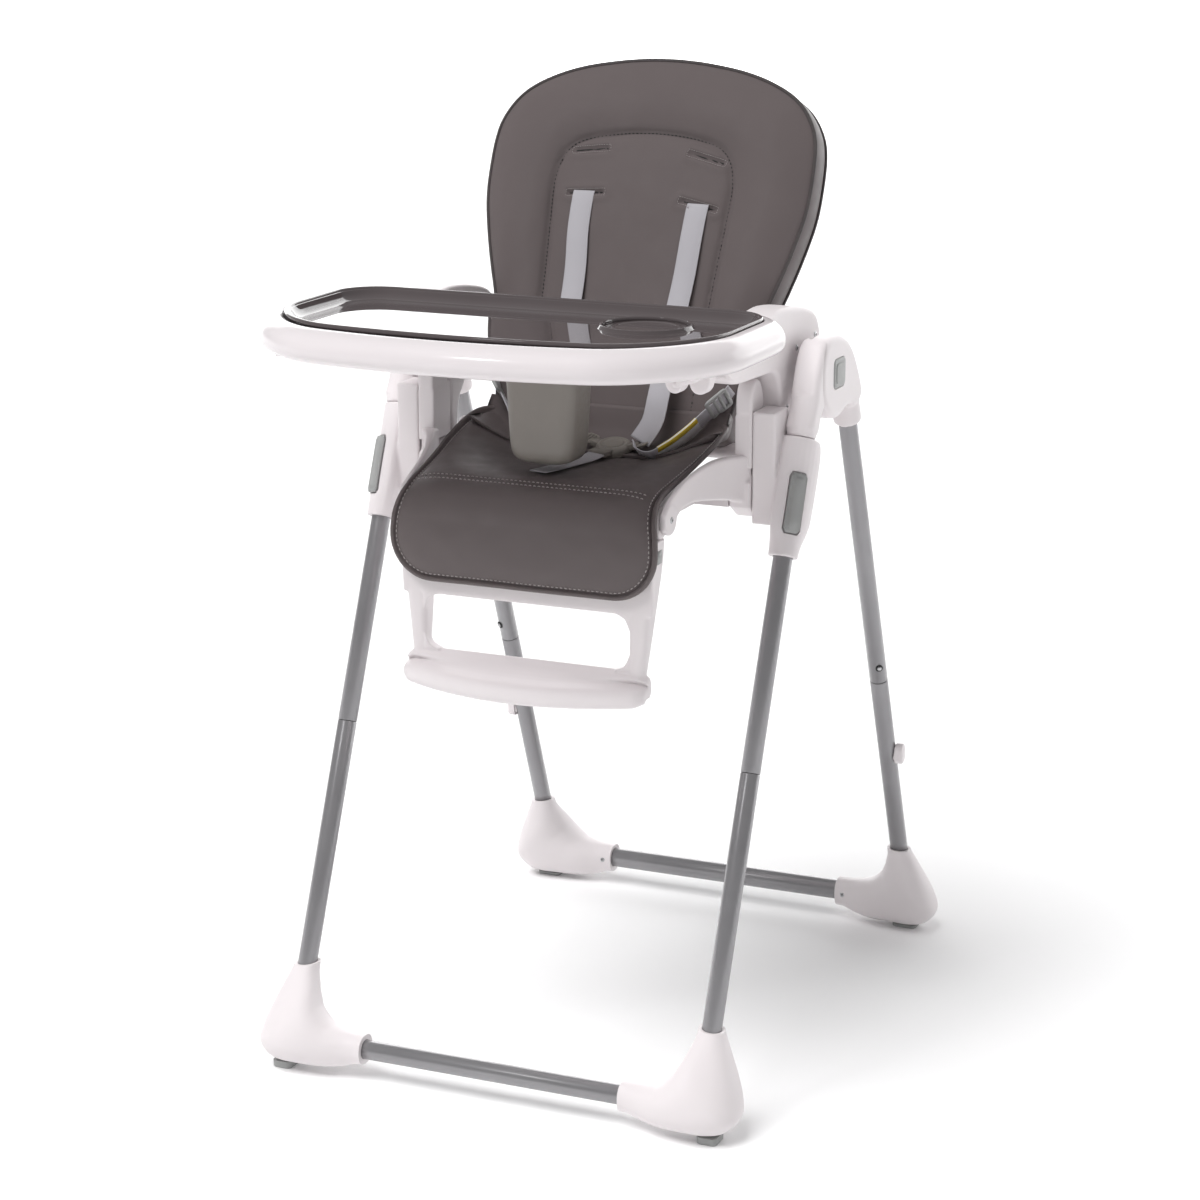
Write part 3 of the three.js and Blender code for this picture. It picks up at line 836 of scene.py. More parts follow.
# %% foot mouldings
FOOT_STATIONS = [  # inner edge (x, z), outer edge (x, z), half depth
    (159, 52, 159, 18, 17),
    (168, 52, 168, 17.5, 17.2),
    (180, 52.5, 182, 13, 19.5),
    (191, 54, 198, 10, 24),
    (202, 57, 215, 8.5, 28),
    (210, 62, 240, 8.5, 31.5),
    (216, 68, 262, 8.8, 34),
    (221, 74, 281, 13.5, 35),
    (224, 80, 293.5, 27, 34.6),
    (228, 88, 291.5, 45, 31.5),
    (230.5, 95, 285, 65, 26.5),
    (233, 101.5, 278, 82, 22),
    (234.6, 107, 271.5, 97, 18.6),
    (235.2, 112, 267, 107, 16.4),
    (235.5, 117, 264.5, 114, 14.9),
]


# %% a foot between two tubes
def squircle(t, power=0.84):
    return math.copysign(abs(t) ** power, t)


def foot_shell(leg, sole):
    rings = []
    for xi, zi, xo, zo, depth in smooth_row(FOOT_STATIONS, 5):
        mid_x, mid_z = (xi + xo) / 2, (zi + zo) / 2
        half_x, half_z = (xo - xi) / 2, (zo - zi) / 2
        y = leg(max(mid_z, BAR_Z))[1]
        ring = []
        for i in range(64):
            a = i / 64 * 2 * math.pi
            z = mid_z + half_z * squircle(math.cos(a))
            if z < 30:
                z = sole + (z - 8.5) * (30 - sole) / 21.5
            ring.append(
                (mid_x + half_x * squircle(math.cos(a)), y + depth * squircle(math.sin(a)), max(z, sole))
            )
        rings.append(ring)
    return skin(rings)


def foot(end, leg, bar_y, bar_r, sole, pad):
    made = link_mesh(end + "_foot", *foot_shell(leg, sole), WHITE)
    bore = rod(leg(99), leg(140), TUBE_R + 0.35, 48, 0.1)
    bar_bore = rod((140, bar_y, BAR_Z), (176.5, bar_y, BAR_Z), bar_r + 0.35, 48, 0.1)
    made = carve(made, bore, bar_bore)
    pair(crisp(made, 38), end + "_frame", "foot_" + end)
    cx, w, h, top = pad
    shell = plate(round_corners(cx, bar_y, w, h, 6), "z", 0, top, 0.6, 1.2, rounds=1)
    pair(link_mesh(end + "_foot_pad", *shell, GREY), end + "_frame", "foot_pad_" + end)


foot("front", front_leg, FRONT_BAR_Y, TUBE_R, 8.5, (262, 12, 14, 8.2))
foot("rear", rear_leg, REAR_BAR_Y, REAR_BAR_R, 4.5, (252, 16, 12, 4.2))

# %% [markdown]
# ## The fold hinge
# The front cap is a sleeve on the front leg, and the rear cap is a round housing over the pivot with a
# sleeve for the rear leg. Both are thick mouldings with rolled edges, so they are put together from
# plates and rods and then melted into one skin. The same outline drawn a little larger cuts the room
# for the neighbour.

# %% hinge caps
CAP_IN, CAP_OUT, CAP_GAP, HUB_R = 233.5, 266.5, 242.8, 52.5


def arc(cx, cy, r, start, end, n=16):
    a = np.radians(np.linspace(start, end, n + 1))
    return [(cx + r * math.cos(t), cy + r * math.sin(t)) for t in a]


front_cap_outline = [
    off_leg(front_leg, 723.5, -16.4),
    off_leg(front_leg, 723.5, 16.4),
    off_leg(front_leg, 756, 16.4),
    (-22, 764),
    (-12, 790),
    (-20, 818),
    (-34, 828),
    (-47, 825),
    (-58, 814),
    (-67, 799),
    (-74, 782),
    (-79, 762),
]
front_cap = link_mesh(
    "front_cap",
    *join_shells(
        plate(front_cap_outline, "x", CAP_IN, CAP_OUT, 8, rounds=1),
        rod(front_leg(722.5), front_leg(766), 16.5, 64, 1.0),
        plate(arc(*FOLD, 34, 0, 354, 59), "x", CAP_IN, CAP_GAP - 0.5, 1.5, rounds=0),
    ),
    WHITE,
)
front_cap = carve(
    moulded(front_cap, 1.3, 20),
    rod(front_leg(715), front_leg(745.5), TUBE_R + 0.35, 48, 0.1),
    plate(arc(*FOLD, HUB_R + 0.7, 0, 357, 119), "x", CAP_GAP - 0.4, 290, 0.2, rounds=0),
)
pair(crisp(front_cap, 40), "front_frame", "hinge_front")

rear_cap_outline = [
    *arc(*FOLD, HUB_R, 215, 138, 16),
    (-38, 826),
    (-16, 828.5),
    (6, 826),
    (28, 817),
    (45, 803),
    (56, 790),
    off_leg(rear_leg, 760, 16.5),
    off_leg(rear_leg, 738, 16.2),
    off_leg(rear_leg, 738, -16),
    off_leg(rear_leg, 748, -17),
    *arc(*FOLD, HUB_R, 300, 225, 12),
]
rear_cap = link_mesh(
    "rear_cap",
    *join_shells(
        plate(rear_cap_outline, "x", CAP_GAP + 0.2, CAP_OUT + 1, 6.5, 1.2, rounds=1),
        plate(
            [(8, 745), (60, 752), (58, 790), (45, 803), (28, 815), (8, 815)], "x", CAP_IN, 250, 3, rounds=2
        ),
        rod(rear_leg(714), rear_leg(757), 16.4, 64, 1.0),
    ),
    WHITE,
)
rear_cap = moulded(rear_cap, 1.3, 18)
rear_cap = carve(
    rear_cap,
    plate(round_corners(*FOLD, 19.6, 17.6, 7.2), "x", 254.6, 275, 0.2, rounds=1),
    rod(rear_leg(700), rear_leg(735.5), TUBE_R + 0.35, 48, 0.1),
)
pair(rear_cap, "rear_frame", "hinge_rear")

# %% fold buttons and the frame round them
def rim_band(outer, inner, axis, low, high, edge=0.8):
    """A flat frame between two outlines with equal point counts."""
    rings = [lay(outer, axis, n) for n in (low, high - edge, high)]
    rings += [lay(inner, axis, n) for n in (high, high - edge, low)]
    return skin(rings + rings[:1], closed_ends=False)


button_edge = np.array(round_corners(*FOLD, 21.6, 19.6, 9))
button_inner = np.array(round_corners(*FOLD, 19.5, 17.5, 7.2))
pair(link_mesh("button_frame", *rim_band(button_edge, button_inner, "x", 258.4, 267.4), WHITE), "rear_frame")
button = join_shells(
    plate(round_corners(*FOLD, 19, 17, 6.8), "x", 259.2, 268.6, 2.4, 0.3, rounds=1),
    plate(round_corners(*FOLD, 13.5, 11.5, 5), "x", 264, 269.8, 1.2, 0.3, rounds=1),
)
pair(link_mesh("button", *button, GREY), "fold_button_#", "fold_button")

# %% [markdown]
# ## The height sliders
# A body round each front leg carries the whole seat. Its lower end is a plain round sleeve and its
# upper part grows into a block, so its section changes from a circle to a rounded box on the way up.
# Both shapes are drawn by their reach in each direction from the tube, and mixed.


# %% slider bodies
def reach_of(outline, centre, n=72):
    """How far an outline lies from a centre, in n directions."""
    p = evenly(soften(outline, 2), 720)
    d = p - np.array(centre, float)
    angle = np.mod(np.arctan2(d[:, 1], d[:, 0]), 2 * math.pi)
    order = np.argsort(angle)
    far = np.hypot(d[:, 0], d[:, 1])
    want = np.arange(n) / n * 2 * math.pi
    return np.interp(want, angle[order], far[order], period=2 * math.pi)


BOX_SECTION = [(231.5, -20), (248.5, -21.5), (270.5, -5), (270.5, 29), (231.5, 30)]
FULL_SECTION = [(231.5, -20), (249, -21.5), (270.5, -4), (270.5, 31), (231.5, 31)]
SLIDER_STATIONS = [  # height, share of the block section, share of the tall rear
    (598, 0.0, 0.0),
    (603, 0.02, 0.0),
    (612, 0.25, 0.0),
    (622, 0.62, 0.0),
    (634, 0.92, 0.0),
    (650, 1.0, 0.35),
    (668, 1.0, 1.0),
    (700, 1.0, 1.0),
    (714, 0.94, 0.5),
    (722, 0.70, 0.1),
]


# %% slider rings and the face of the lever
def slider_ring(z, share, tall):
    around = np.full(72, 16.8)
    block = reach_of(BOX_SECTION, (LEG_X, 0))
    full = reach_of(FULL_SECTION, (LEG_X, 0))
    far = around + (block + (full - block) * tall - around) * share
    ring = []
    for i, r in enumerate(far):
        a = i / 72 * 2 * math.pi
        ring.append((LEG_X + r * math.cos(a), *off_leg(front_leg, z, r * math.sin(a))))
    return ring


def on_face(along, deep):
    """(x, offset) on the slanted front outer face of a slider: along it, and into it."""
    return (250 + 0.8 * along - 0.6 * deep, -21 + 0.6 * along + 0.8 * deep)


def leg_block(outlines_at):
    """A body between outlines of (x, offset) at heights along the front leg."""
    return skin([[(x, *off_leg(front_leg, z, o)) for x, o in outline] for z, outline in outlines_at])


def face_slot(grow, deep, proud, low, high, end_round=3):
    """A rounded slab on the slanted face, from one height to another."""
    levels = []
    for t in np.linspace(0, 1, 15):
        z = low + (high - low) * t
        near_end = min(t, 1 - t) * (high - low)
        pull = 0
        if near_end <= end_round:
            pull = end_round - math.sqrt(max(0, end_round**2 - (end_round - near_end) ** 2))
        a, b = 3 - grow + pull, 22 + grow - pull
        levels.append(
            (z, [on_face(a, deep), on_face(b, deep), on_face(b - 0.6, proud), on_face(a + 0.6, proud)])
        )
    return leg_block(levels)


slider_rings = [slider_ring(*row) for row in smooth_row(SLIDER_STATIONS, 5)]
riser = plate([(-121.8, 629), (-79, 633), (-79, 756), (-121.8, 755.5)], "x", 206.9, 234, 2.2, 1.2, rounds=0)
slider = link_mesh("slider_body", *join_shells(skin(slider_rings), riser), WHITE)
slider = moulded(slider, 1.3, 5)
slider = carve(
    slider,
    rod(front_leg(585), front_leg(735), TUBE_R + 0.45, 48, 0.1),
    face_slot(1.4, 4.6, -6, 620.5, 685.5),
)
pair(slider, "seat", "slider")
lever = join_shells(face_slot(0.2, 1.2, -1.8, 622, 684), face_slot(-3.2, 0, -2.3, 626, 680))
pair(link_mesh("height_squeeze", *lever, GREY), "height_lever_#", "height_lever")
print("slider faces:", len(slider.data.polygons))

# %% [markdown]
# ## Side posts and armrests
# The inner half of each side post reaches up from the seat rail to a round hub. The armrest is a wing
# plate over that hub: it carries the tray in front, rises to a shoulder and drops behind the post.

# %% posts
POST_FOOT = [(-122, 691), (-78, 691), (-78, 756), (-122, 750)]
POST_HUB = [
    (-122, 745), (-123, 766), (-120, 780), (-111, 789), (-101, 790), (-92, 783), (-85, 770), (-82, 745)
]
post = join_shells(
    plate(POST_FOOT, "x", 186, 206.5, 1.2, 2, rounds=0),
    plate(POST_HUB, "x", 187, 206.4, 2.5, rounds=2),
)
pair(moulded(link_mesh("post_inner", *post, WHITE), 1.4, 5), "seat", "side_post")

# %% armrests
ARM_OUTLINE = [
    (-236, 803),
    (-236, 829),
    (-196, 829.5),
    (-152, 830),
    (-139, 845),
    (-118, 859),
    (-81, 865.5),
    (-35, 862),
    (12, 853.5),
    (34, 845),
    (46, 832),
    (52, 810),
    (47, 801),
    (27, 800),
    (2, 785),
    (-29, 771),
    (-38, 748),
    (-55, 729),
    (-59, 708),
    (-60, 691),
    (-77, 691),
    (-77, 757),
    (-80, 776),
    (-89, 792),
    (-104, 798),
    (-150, 799),
]
arm = link_mesh("arm_wing", *plate(ARM_OUTLINE, "x", 185.5, 224.5, 5.5, 4, rounds=2), WHITE)
arm = moulded(arm, 1.5, 2)
pair(arm, "seat", "armrest")
ARM_SCREWS = [((224.4, -31, 814), (1, 0, 0)), ((224.4, 30, 820), (1, 0, 0)), ((224.0, -60, 752), (1, 0, 0))]

# %% [markdown]
# ## The seat sides
# A bracket on each side ties the seat to its slider. A fin runs forward from it and ends in a round
# ear, where the leg rest turns on a screw.

# %% brackets
FIN_STATIONS = [  # y, inner x, outer x, low z, high z
    (-262, 153.8, 160, 645, 664),
    (-245, 153.8, 160.5, 640, 676),
    (-215, 155.5, 162, 660, 688),
    (-185, 161, 168, 663, 698),
    (-155, 170, 180, 660, 705),
    (-130, 180, 196, 655, 706),
    (-116, 182, 206, 650, 705),
]
fin_rings = []
for y, x0, x1, z0, z1 in smooth_row(FIN_STATIONS, 4):
    r = min(3.0, (x1 - x0) / 2.2)
    section = round_corners((x0 + x1) / 2, (z0 + z1) / 2, (x1 - x0) / 2, (z1 - z0) / 2, r)
    fin_rings.append([(x, y, z) for x, z in section])
bracket = join_shells(
    skin(fin_rings),
    rod((153.8, *LEGREST), (161.5, *LEGREST), 17, 48, 1.2),
    plate([(-125, 633), (-41, 633), (-41, 690), (-125, 690)], "x", 181, 206.2, 3, rounds=1),
    rod((180.5, *RECLINE), (200, *RECLINE), 15, 48, 1.5),
    plate([(-45, 672), (-18, 674), (-18, 690), (-45, 690)], "x", 181, 199.5, 1.5, rounds=1),
)
pair(moulded(link_mesh("seat_side", *bracket, WHITE), 1.3, 5), "seat", "seat_bracket")
SIDE_SCREWS = [
    ((161.4, *LEGREST), (1, 0, 0)), ((268.6, -94, 659), (1, 0, 0)), ((206.0, -60, 662), (1, 0, 0))
]
seat_screws = ARM_SCREWS + SIDE_SCREWS
seat_screws += [((-p[0], p[1], p[2]), (-d[0], d[1], d[2])) for p, d in seat_screws]
screws("seat_screws", [(p, d, 3.4) for p, d in seat_screws], "seat")
pan = frame["nodes"]["seat_pan"]
pan.data.materials.clear()
pan.data.materials.append(WHITE)
pan_edge = pan.modifiers.new("broken_edges", "BEVEL")
pan_edge.width = 0.0012
pan_edge.segments = 3
print("seat screws:", len(seat_screws))

# %% foot screws
def foot_screws(end, leg, bar_y):
    """Screws at the collars, where a shallow boss meets the outside of the foot."""
    spots = []
    rear = -1 if end == "rear" else 1
    for side in (1, -1):
        y, z = off_leg(leg, 106, 15.6 * rear)
        spots.append(((side * 252, y, z), (0.1 * side, rear, 0.25), 2.9))
        spots.append(((side * 170, bar_y + rear * 17.0, 35), (0, rear, 0.1), 2.9))
    return spots


screws("front_screws", foot_screws("front", front_leg, FRONT_BAR_Y), "front_frame")
screws("rear_screws", foot_screws("rear", rear_leg, REAR_BAR_Y), "rear_frame")

# %% [markdown]
# ## The tray
# The tray is one glossy white shell: a rounded rim with a bowed front, a well for the insert and a
# hollow underside. One outline formula gives every ring. An inset shrinks it, and a list of inset and
# height pairs draws the section from the hollow underneath, round the rim and down into the well.


# %% tray outline and section
TRAY = dict(w=280.3, rear=-154, front=-444.3, bow=47.8, rc=80, rf=126)
INSERT = dict(w=255.4, rear=-178.1, front=-419.4, bow=32.6, rc=53, rf=107)


def tray_ring(o, inset, z, n=22):
    w, rear, front = o["w"] - inset, o["rear"] - inset, o["front"] + inset
    rc, rf = max(8, o["rc"] - inset), max(12, o["rf"] - inset)
    half = arc(w - rc, rear - rc, rc, 90, 0, n) + arc(w - rf, front + rf, rf, 0, -90, n)
    half += [((w - rf) * (1 - k / 14.5), front) for k in range(1, 15)]
    ring = []
    for x, y in half:
        reach = min(1, max(0, (rear - y) / (rear - front)))
        ring.append((x, y - o["bow"] * (1 - (x / w) ** 2) * reach**3, z))
    return ring + [(-x, y, h) for x, y, h in reversed(ring)]


def tray_stack(*groups):
    rings = []
    for o, levels, steps in groups:
        rows = smooth_row(levels, steps) if steps > 1 else np.array(levels, float)
        rings += [tray_ring(o, inset, z) for inset, z in rows]
    return skin(rings)


UNDER = [(34, 845), (30, 844.6), (27.6, 843.4), (26.4, 841.4), (25.2, 840), (23, 839.5)]
OUTSIDE = [
    (15, 839.5), (9, 840.4), (4.6, 843.2), (1.4, 847.2), (0, 853), (0.9, 859), (4.0, 865.4), (9.2, 870.5),
    (15.2, 873.8), (20, 875)
]
LIP = [(20, 875), (21.6, 875.2), (22.8, 874.4)]
WELL = [(-0.6, 871), (-0.6, 849), (1.5, 847)]
tray_shell = tray_stack((TRAY, UNDER, 3), (TRAY, OUTSIDE, 3), (TRAY, LIP, 2), (INSERT, WELL, 1))
tray = link_mesh("tray_shell", *tray_shell, WHITE_GLOSS)
belongs(crisp(tray, 55), "tray", ("tray_base",))
rail_shells = []
for x0, x1 in ((178, 184), (226, 232), (-184, -178), (-232, -226)):
    hook = [(-262, 815), (-218, 815), (-218, 843), (-262, 843)]
    runner = [(-405, 829), (-190, 829), (-190, 843), (-405, 843)]
    rail_shells.append(plate(hook, "x", x0, x1, 1.2, rounds=1))
    rail_shells.append(plate(runner, "x", x0 + 1, x1 - 1, 0.8, rounds=1))
belongs(link_mesh("tray_rails", *join_shells(*rail_shells), WHITE), "tray")


# %% tray release levers
def lever_tab(x0, x1, y0, y1):
    """A thumb tab under the rim: flat at the top, round at its free end."""
    drop = [
        (x0, 836), (x0, 815), (x0 + 5, 806.5), ((x0 + x1) / 2, 804.5), (x1 - 5, 806.5), (x1, 815), (x1, 836)
    ]
    return plate(drop, "y", y0, y1, 2.5, rounds=2)


release = join_shells(
    plate(round_corners(199, -288, 25, 12, 3), "z", 834, 840.6, 1, rounds=1),
    lever_tab(174, 197, -300, -281),
    lever_tab(200, 224, -296, -277),
)
pair(moulded(link_mesh("tray_release", *release, WHITE), 1.1, 4), "tray_lever_#", "tray_lever")

# %% post between the legs
POST_STATIONS = [
    (699.5, 17, -224, -194),
    (700.5, 25, -228, -189),
    (703.5, 31.5, -232.5, -184.5),
    (709, 36, -236, -181.5),
    (722, 38.5, -238.5, -179.5),
    (756, 40.5, -239.3, -178.6),
    (790, 42.3, -240, -178),
    (839.2, 45, -242, -176),
]
post_rings = []
for z, w, y0, y1 in smooth_row(POST_STATIONS, 5):
    r = min(14, (y1 - y0) / 2 - 0.4)
    post_rings.append([(x, y, z) for x, y in round_corners(0, (y0 + y1) / 2, w, (y1 - y0) / 2, r, 12)])
belongs(crisp(link_mesh("leg_divider", *skin(post_rings), TAUPE), 60), "tray", ("crotch_post",))
collar = plate(round_corners(0, -215, 49, 32, 16, 8), "z", 839.4, 846, 1.5, rounds=1)
belongs(link_mesh("divider_collar", *collar, WHITE), "tray")

# %% [markdown]
# ## The tray insert
# The insert lifts out for washing. It is thin, dark and polished, with a raised lip all round, a flat
# floor and a ring for a cup. Its gloss mirrors the backrest, so its floor has to be truly flat.

# %% insert shell and cup ring
SKIRT = [(24, 849.5), (21, 852), (13, 859.5), (6, 867), (2.5, 872)]
LIP_OUT = [(2.5, 872), (0.6, 874), (0.2, 876), (1.2, 877.6), (3.2, 878), (5.2, 877.2), (6.6, 875)]
DISH = [(6.6, 875.4), (8.2, 873), (11, 869.6), (15, 866.8), (19, 865.3), (24, 864.6), (29, 864.5)]
FLAT = [(31, 864.5), (42, 864.5), (70, 864.5)]
insert_shell = tray_stack((INSERT, SKIRT, 3), (INSERT, LIP_OUT, 3), (INSERT, DISH, 4), (INSERT, FLAT, 1))
insert = link_mesh("insert_dish", *insert_shell, GLOSS)
belongs(insert, "tray_insert", ("tray_insert",))
CUP = (133, -250)
ring_profile = [
    (0, 46.5), (1.6, 46.2), (3.6, 46.8), (4.6, 48.2), (4.4, 49.8), (2.6, 51), (0.6, 52.4), (0, 53)
]
rings = [circle((*CUP, 864.3 + t), (0, 0, 1), r, 96) for t, r in smooth_row(ring_profile, 4)]
rings += [circle((*CUP, 862.5), (0, 0, 1), r, 96) for r in (52, 47)]
rings.append(rings[0])
belongs(link_mesh("cup_ring", *skin(rings, closed_ends=False), GLOSS), "tray_insert")
step_profile = [(0, 33), (0.9, 34.5), (1.1, 36), (0.8, 37.5), (0, 39)]
inner_ring = [circle((*CUP, 864.3 + t), (0, 0, 1), r, 96) for t, r in smooth_row(step_profile, 3)]
inner_ring += [circle((*CUP, 862.8), (0, 0, 1), r, 96) for r in (38, 34)]
inner_ring.append(inner_ring[0])
belongs(link_mesh("cup_step", *skin(inner_ring, closed_ends=False), GLOSS), "tray_insert")
print("tray top:", 878, "mm; insert faces:", len(insert.data.polygons))

# %% [markdown]
# ## Cushions
# The chair has one padded cover: a backrest, and a seat that runs over the front edge and down in
# front of the calves. Each cushion is drawn flat first, as a pattern cutter would, with an outline and
# a height at each point. Distances to the outline and to the sewn lines give the height: it is low at
# every seam and rises between them. Then the flat pattern is laid on the backrest's slope, or bent
# over the seat's front edge.


# %% distances on a flat pattern
def distance_to(points, line, closed=False):
    """How far each flat point lies from a line."""
    p = np.asarray(points, float)
    a = np.asarray(line, float)
    b = np.roll(a, -1, 0) if closed else a[1:]
    a = a if closed else a[:-1]
    best = np.full(len(p), 1e9)
    for q, r in zip(a, b):
        d = r - q
        t = np.clip(((p - q) @ d) / max(d @ d, 1e-9), 0, 1)
        best = np.minimum(best, np.hypot(*(p - q - t[:, None] * d).T))
    return best


def inside(points, outline):
    """Which flat points lie inside a closed outline."""
    p = np.asarray(points, float)
    a = np.asarray(outline, float)
    b = np.roll(a, -1, 0)
    hit = np.zeros(len(p), bool)
    for (x0, y0), (x1, y1) in zip(a, b):
        crosses = (y0 > p[:, 1]) != (y1 > p[:, 1])
        if y0 != y1:
            hit ^= crosses & (p[:, 0] < (x1 - x0) * (p[:, 1] - y0) / (y1 - y0) + x0)
    return hit


def radial(outline, centre, shares):
    """Rings of an outline shrunk towards a centre: the flat mesh of a cushion."""
    o = np.asarray(outline, float)
    c = np.asarray(centre, float)
    return [c + (o - c) * t for t in shares]


# %% backrest pattern
BACK_STATIONS = [  # height up the slope, half width
    (8, 142),
    (60, 150),
    (110, 159),
    (157, 169),
    (193, 180),
    (229, 190),
    (271, 199),
    (307, 201.5),
    (350, 200),
    (378, 192),
    (404, 173),
    (423, 143),
    (437, 104),
    (445.5, 58),
    (449, 22),
    (449.5, 0),
]
right_edge = [(w, s) for s, w in smooth_row(BACK_STATIONS, 6)]
left_edge = [(-x, s) for x, s in reversed(right_edge[:-1])]
back_outline = evenly(soften([(-130, 4), (130, 4)] + right_edge + left_edge, 1), 260)
PANEL = [
    (100, 20),
    (99, 90),
    (101, 150),
    (104, 210),
    (108, 280),
    (107.5, 306),
    (101, 330),
    (86, 346.5),
    (60, 355),
    (30, 359.5),
    (0, 361),
]
panel_line = np.array([(x, s) for x, s in smooth_row(PANEL, 8)])
panel_line = np.vstack([panel_line, [(-1.07 * x, s) for x, s in panel_line[-2::-1]]])
SLOTS = [  # upper and lower on each side; hand sewing left them a little uneven
    ((52, 338), (93, 328.5)),
    ((50, 281), (92, 272.5)),
    ((-53, 340), (-94, 336)),
    ((-51, 286.5), (-93, 284)),
]
slot_lines = [np.array(ends) for ends in SLOTS]


# %% height of the backrest cushion
def back_height(flat):
    """How far the cover stands out from the plane of the seams, at points (x, s)."""
    edge = distance_to(flat, back_outline, True)
    sewn = distance_to(flat, panel_line)
    in_panel = inside(flat, panel_line)
    share = sewn / np.maximum(sewn + edge, 1e-6)
    crown = 11 * np.sin(math.pi * np.clip(share, 0, 1)) ** 0.7
    bolster = -1 - 4.5 * share + crown * np.minimum(1, (sewn + edge) / 70)
    panel = -1 + 4.5 * (1 - np.exp(-sewn / 16))
    height = np.where(in_panel, panel, bolster)
    height -= 2.6 * np.exp(-((sewn / 3.2) ** 2))
    for line in slot_lines:
        d = distance_to(flat, line)
        height -= 4.2 * np.exp(-((d / 2.4) ** 2))
        height += 1.1 * np.exp(-(((d - 7) / 4.5) ** 2))
    foot = np.clip((flat[:, 1] - 8) / 80, 0, 1)
    return height * (0.35 + 0.65 * foot)


def crumple(flat, size, seed):
    """A gentle unevenness made of a few waves, the same each time."""
    waves = np.random.default_rng(seed)
    out = np.zeros(len(flat))
    for _ in range(9):
        angle, phase = waves.uniform(0, 2 * math.pi, 2)
        length = waves.uniform(22, 70)
        out += np.sin((flat @ np.array([math.cos(angle), math.sin(angle)])) / length * 2 * math.pi + phase)
    return out / 9 * size


BACK_CENTRE = (0, 236)
shares = np.concatenate([np.linspace(0.02, 0.9, 60), np.linspace(0.912, 1, 14)])
front_rings = []
for ring in radial(back_outline, BACK_CENTRE, shares):
    off_seam = np.clip(distance_to(ring, back_outline, True) / 20, 0, 1)
    rise = back_height(ring) + crumple(ring, 0.8, 4) * off_seam
    front_rings.append([on_back(x, s, n) for (x, s), n in zip(ring, rise)])
back_out = outward(back_outline)


# %% sides of the backrest cushion
def back_wrap(inset, n):
    return [on_back(x, s, n) for x, s in back_outline - back_out * inset]


GUSSET = [
    (0, -6.5), (-1.8, -9.5), (-3.0, -17), (-3.2, -26), (-2.4, -35), (-0.4, -41.5), (2.5, -44.6), (8, -45.6),
    (12.5, -44), (13.5, -39), (13.5, -30.5)
]
back_rings = front_rings + [back_wrap(i, n) for i, n in smooth_row(GUSSET, 3)]
points, faces = skin(back_rings)
back_pad = link_mesh("back_cushion", points, faces, COVER)
belongs(back_pad, "backrest", ("backrest_pad",))
print("backrest cushion:", len(faces), "faces")

# %% piping round the backrest
def loop_cord(name, offset, n, r, finish):
    """A cord sewn round the backrest's outline, n forwards from its plane."""
    line = [on_back(x, s, n) for x, s in back_outline + back_out * offset]
    line = np.array(line + line[:1])
    along = np.gradient(line, axis=0)
    along[0] = along[-1] = line[1] - line[-2]
    along /= np.linalg.norm(along, axis=1, keepdims=True)
    face = np.array(on_back(0, 0, 1)) - np.array(on_back(0, 0, 0))
    rings = []
    for p, d in zip(line[:-1], along[:-1]):
        side = np.cross(d, face)
        turn = np.arange(12) / 12 * 2 * math.pi
        rings.append([p + r * (math.cos(a) * side + math.sin(a) * face) for a in turn])
    rings.append(rings[0])
    return belongs(link_mesh(name, *skin(rings, closed_ends=False), finish), "backrest", slot="pad_cover")


loop_cord("front_piping", 0.8, -5.6, 2.3, BINDING)
loop_cord("rear_piping", 2.2, -41, 1.7, BINDING)


# %% stitched rows of the backrest
def back_stitches(name, line, lift=0.4, **look):
    line = evenly(line, max(4, int(len(line) * 6)), closed=False)
    rise = back_height(line) + crumple(line, 0.8, 4)
    path = [on_back(x, s, n + lift) for (x, s), n in zip(line, rise)]
    out = np.array(on_back(0, 0, 1)) - np.array(on_back(0, 0, 0))
    return stitches(name, path, np.tile(out, (len(path), 1)), "backrest", **look)


# The panel seam's stitches are real, but they take the black unlit finish, so their dark colour is painted
# shade along the sunk seam.
back_stitches("panel_stitches", panel_line, lift=0.9, length=3.1, gap=1.8, r=0.6, finish=BLACK)


def slot_outline(line):
    """The thread box round a strap slot."""
    a, b = np.array(line[0], float), np.array(line[1], float)
    d = (b - a) / np.linalg.norm(b - a)
    m = np.array([-d[1], d[0]]) * 4.2
    return np.array([a - d * 4 + m, b + d * 4 + m, b + d * 4 - m, a - d * 4 - m, a - d * 4 + m])


for k, line in enumerate(slot_lines):
    back_stitches(
        f"slot_stitches_{k}", evenly(slot_outline(line), 40, False), lift=0.3, r=0.24, length=2.2, gap=0.9
    )
# Black slabs sunk into the cover along each strap slot paint the shade inside the slits.
slit_shade_shells = []
for line in slot_lines:
    row = evenly(line, 24, False)
    rise = back_height(row)
    top = [on_back(x, s + 0.7, n + 1.2) for (x, s), n in zip(row, rise)]
    low = [on_back(x, s - 0.7, n + 1.2) for (x, s), n in zip(row, rise)]
    deep_low = [on_back(x, s - 0.7, n - 2) for (x, s), n in zip(row, rise)]
    deep_top = [on_back(x, s + 0.7, n - 2) for (x, s), n in zip(row, rise)]
    slit_shade_shells.append(skin([list(four) for four in zip(top, low, deep_low, deep_top)]))
belongs(link_mesh("strap_slit_shade", *join_shells(*slit_shade_shells), BLACK), "backrest", slot="pad_cover")

# %% [markdown]
# ## The shell behind the backrest
# Behind the cushion sits a white moulded shell. It carries the hinge barrel at its foot and the
# recline handle near its top. A raised border, a sunk middle and two long ribs keep it stiff.

# %% back shell
SHELL = [
    (0, -31.5), (0, -44), (0.6, -47.5), (2.4, -49.6), (5, -50.2), (15, -50.2), (18, -49.4), (20, -47.2),
    (21.5, -44.6), (25, -44)
]
SHELL_INSET = 14.5
arms_out = back_outline - BACK_CENTRE
reach_out = np.linalg.norm(arms_out, axis=1)[:, None]


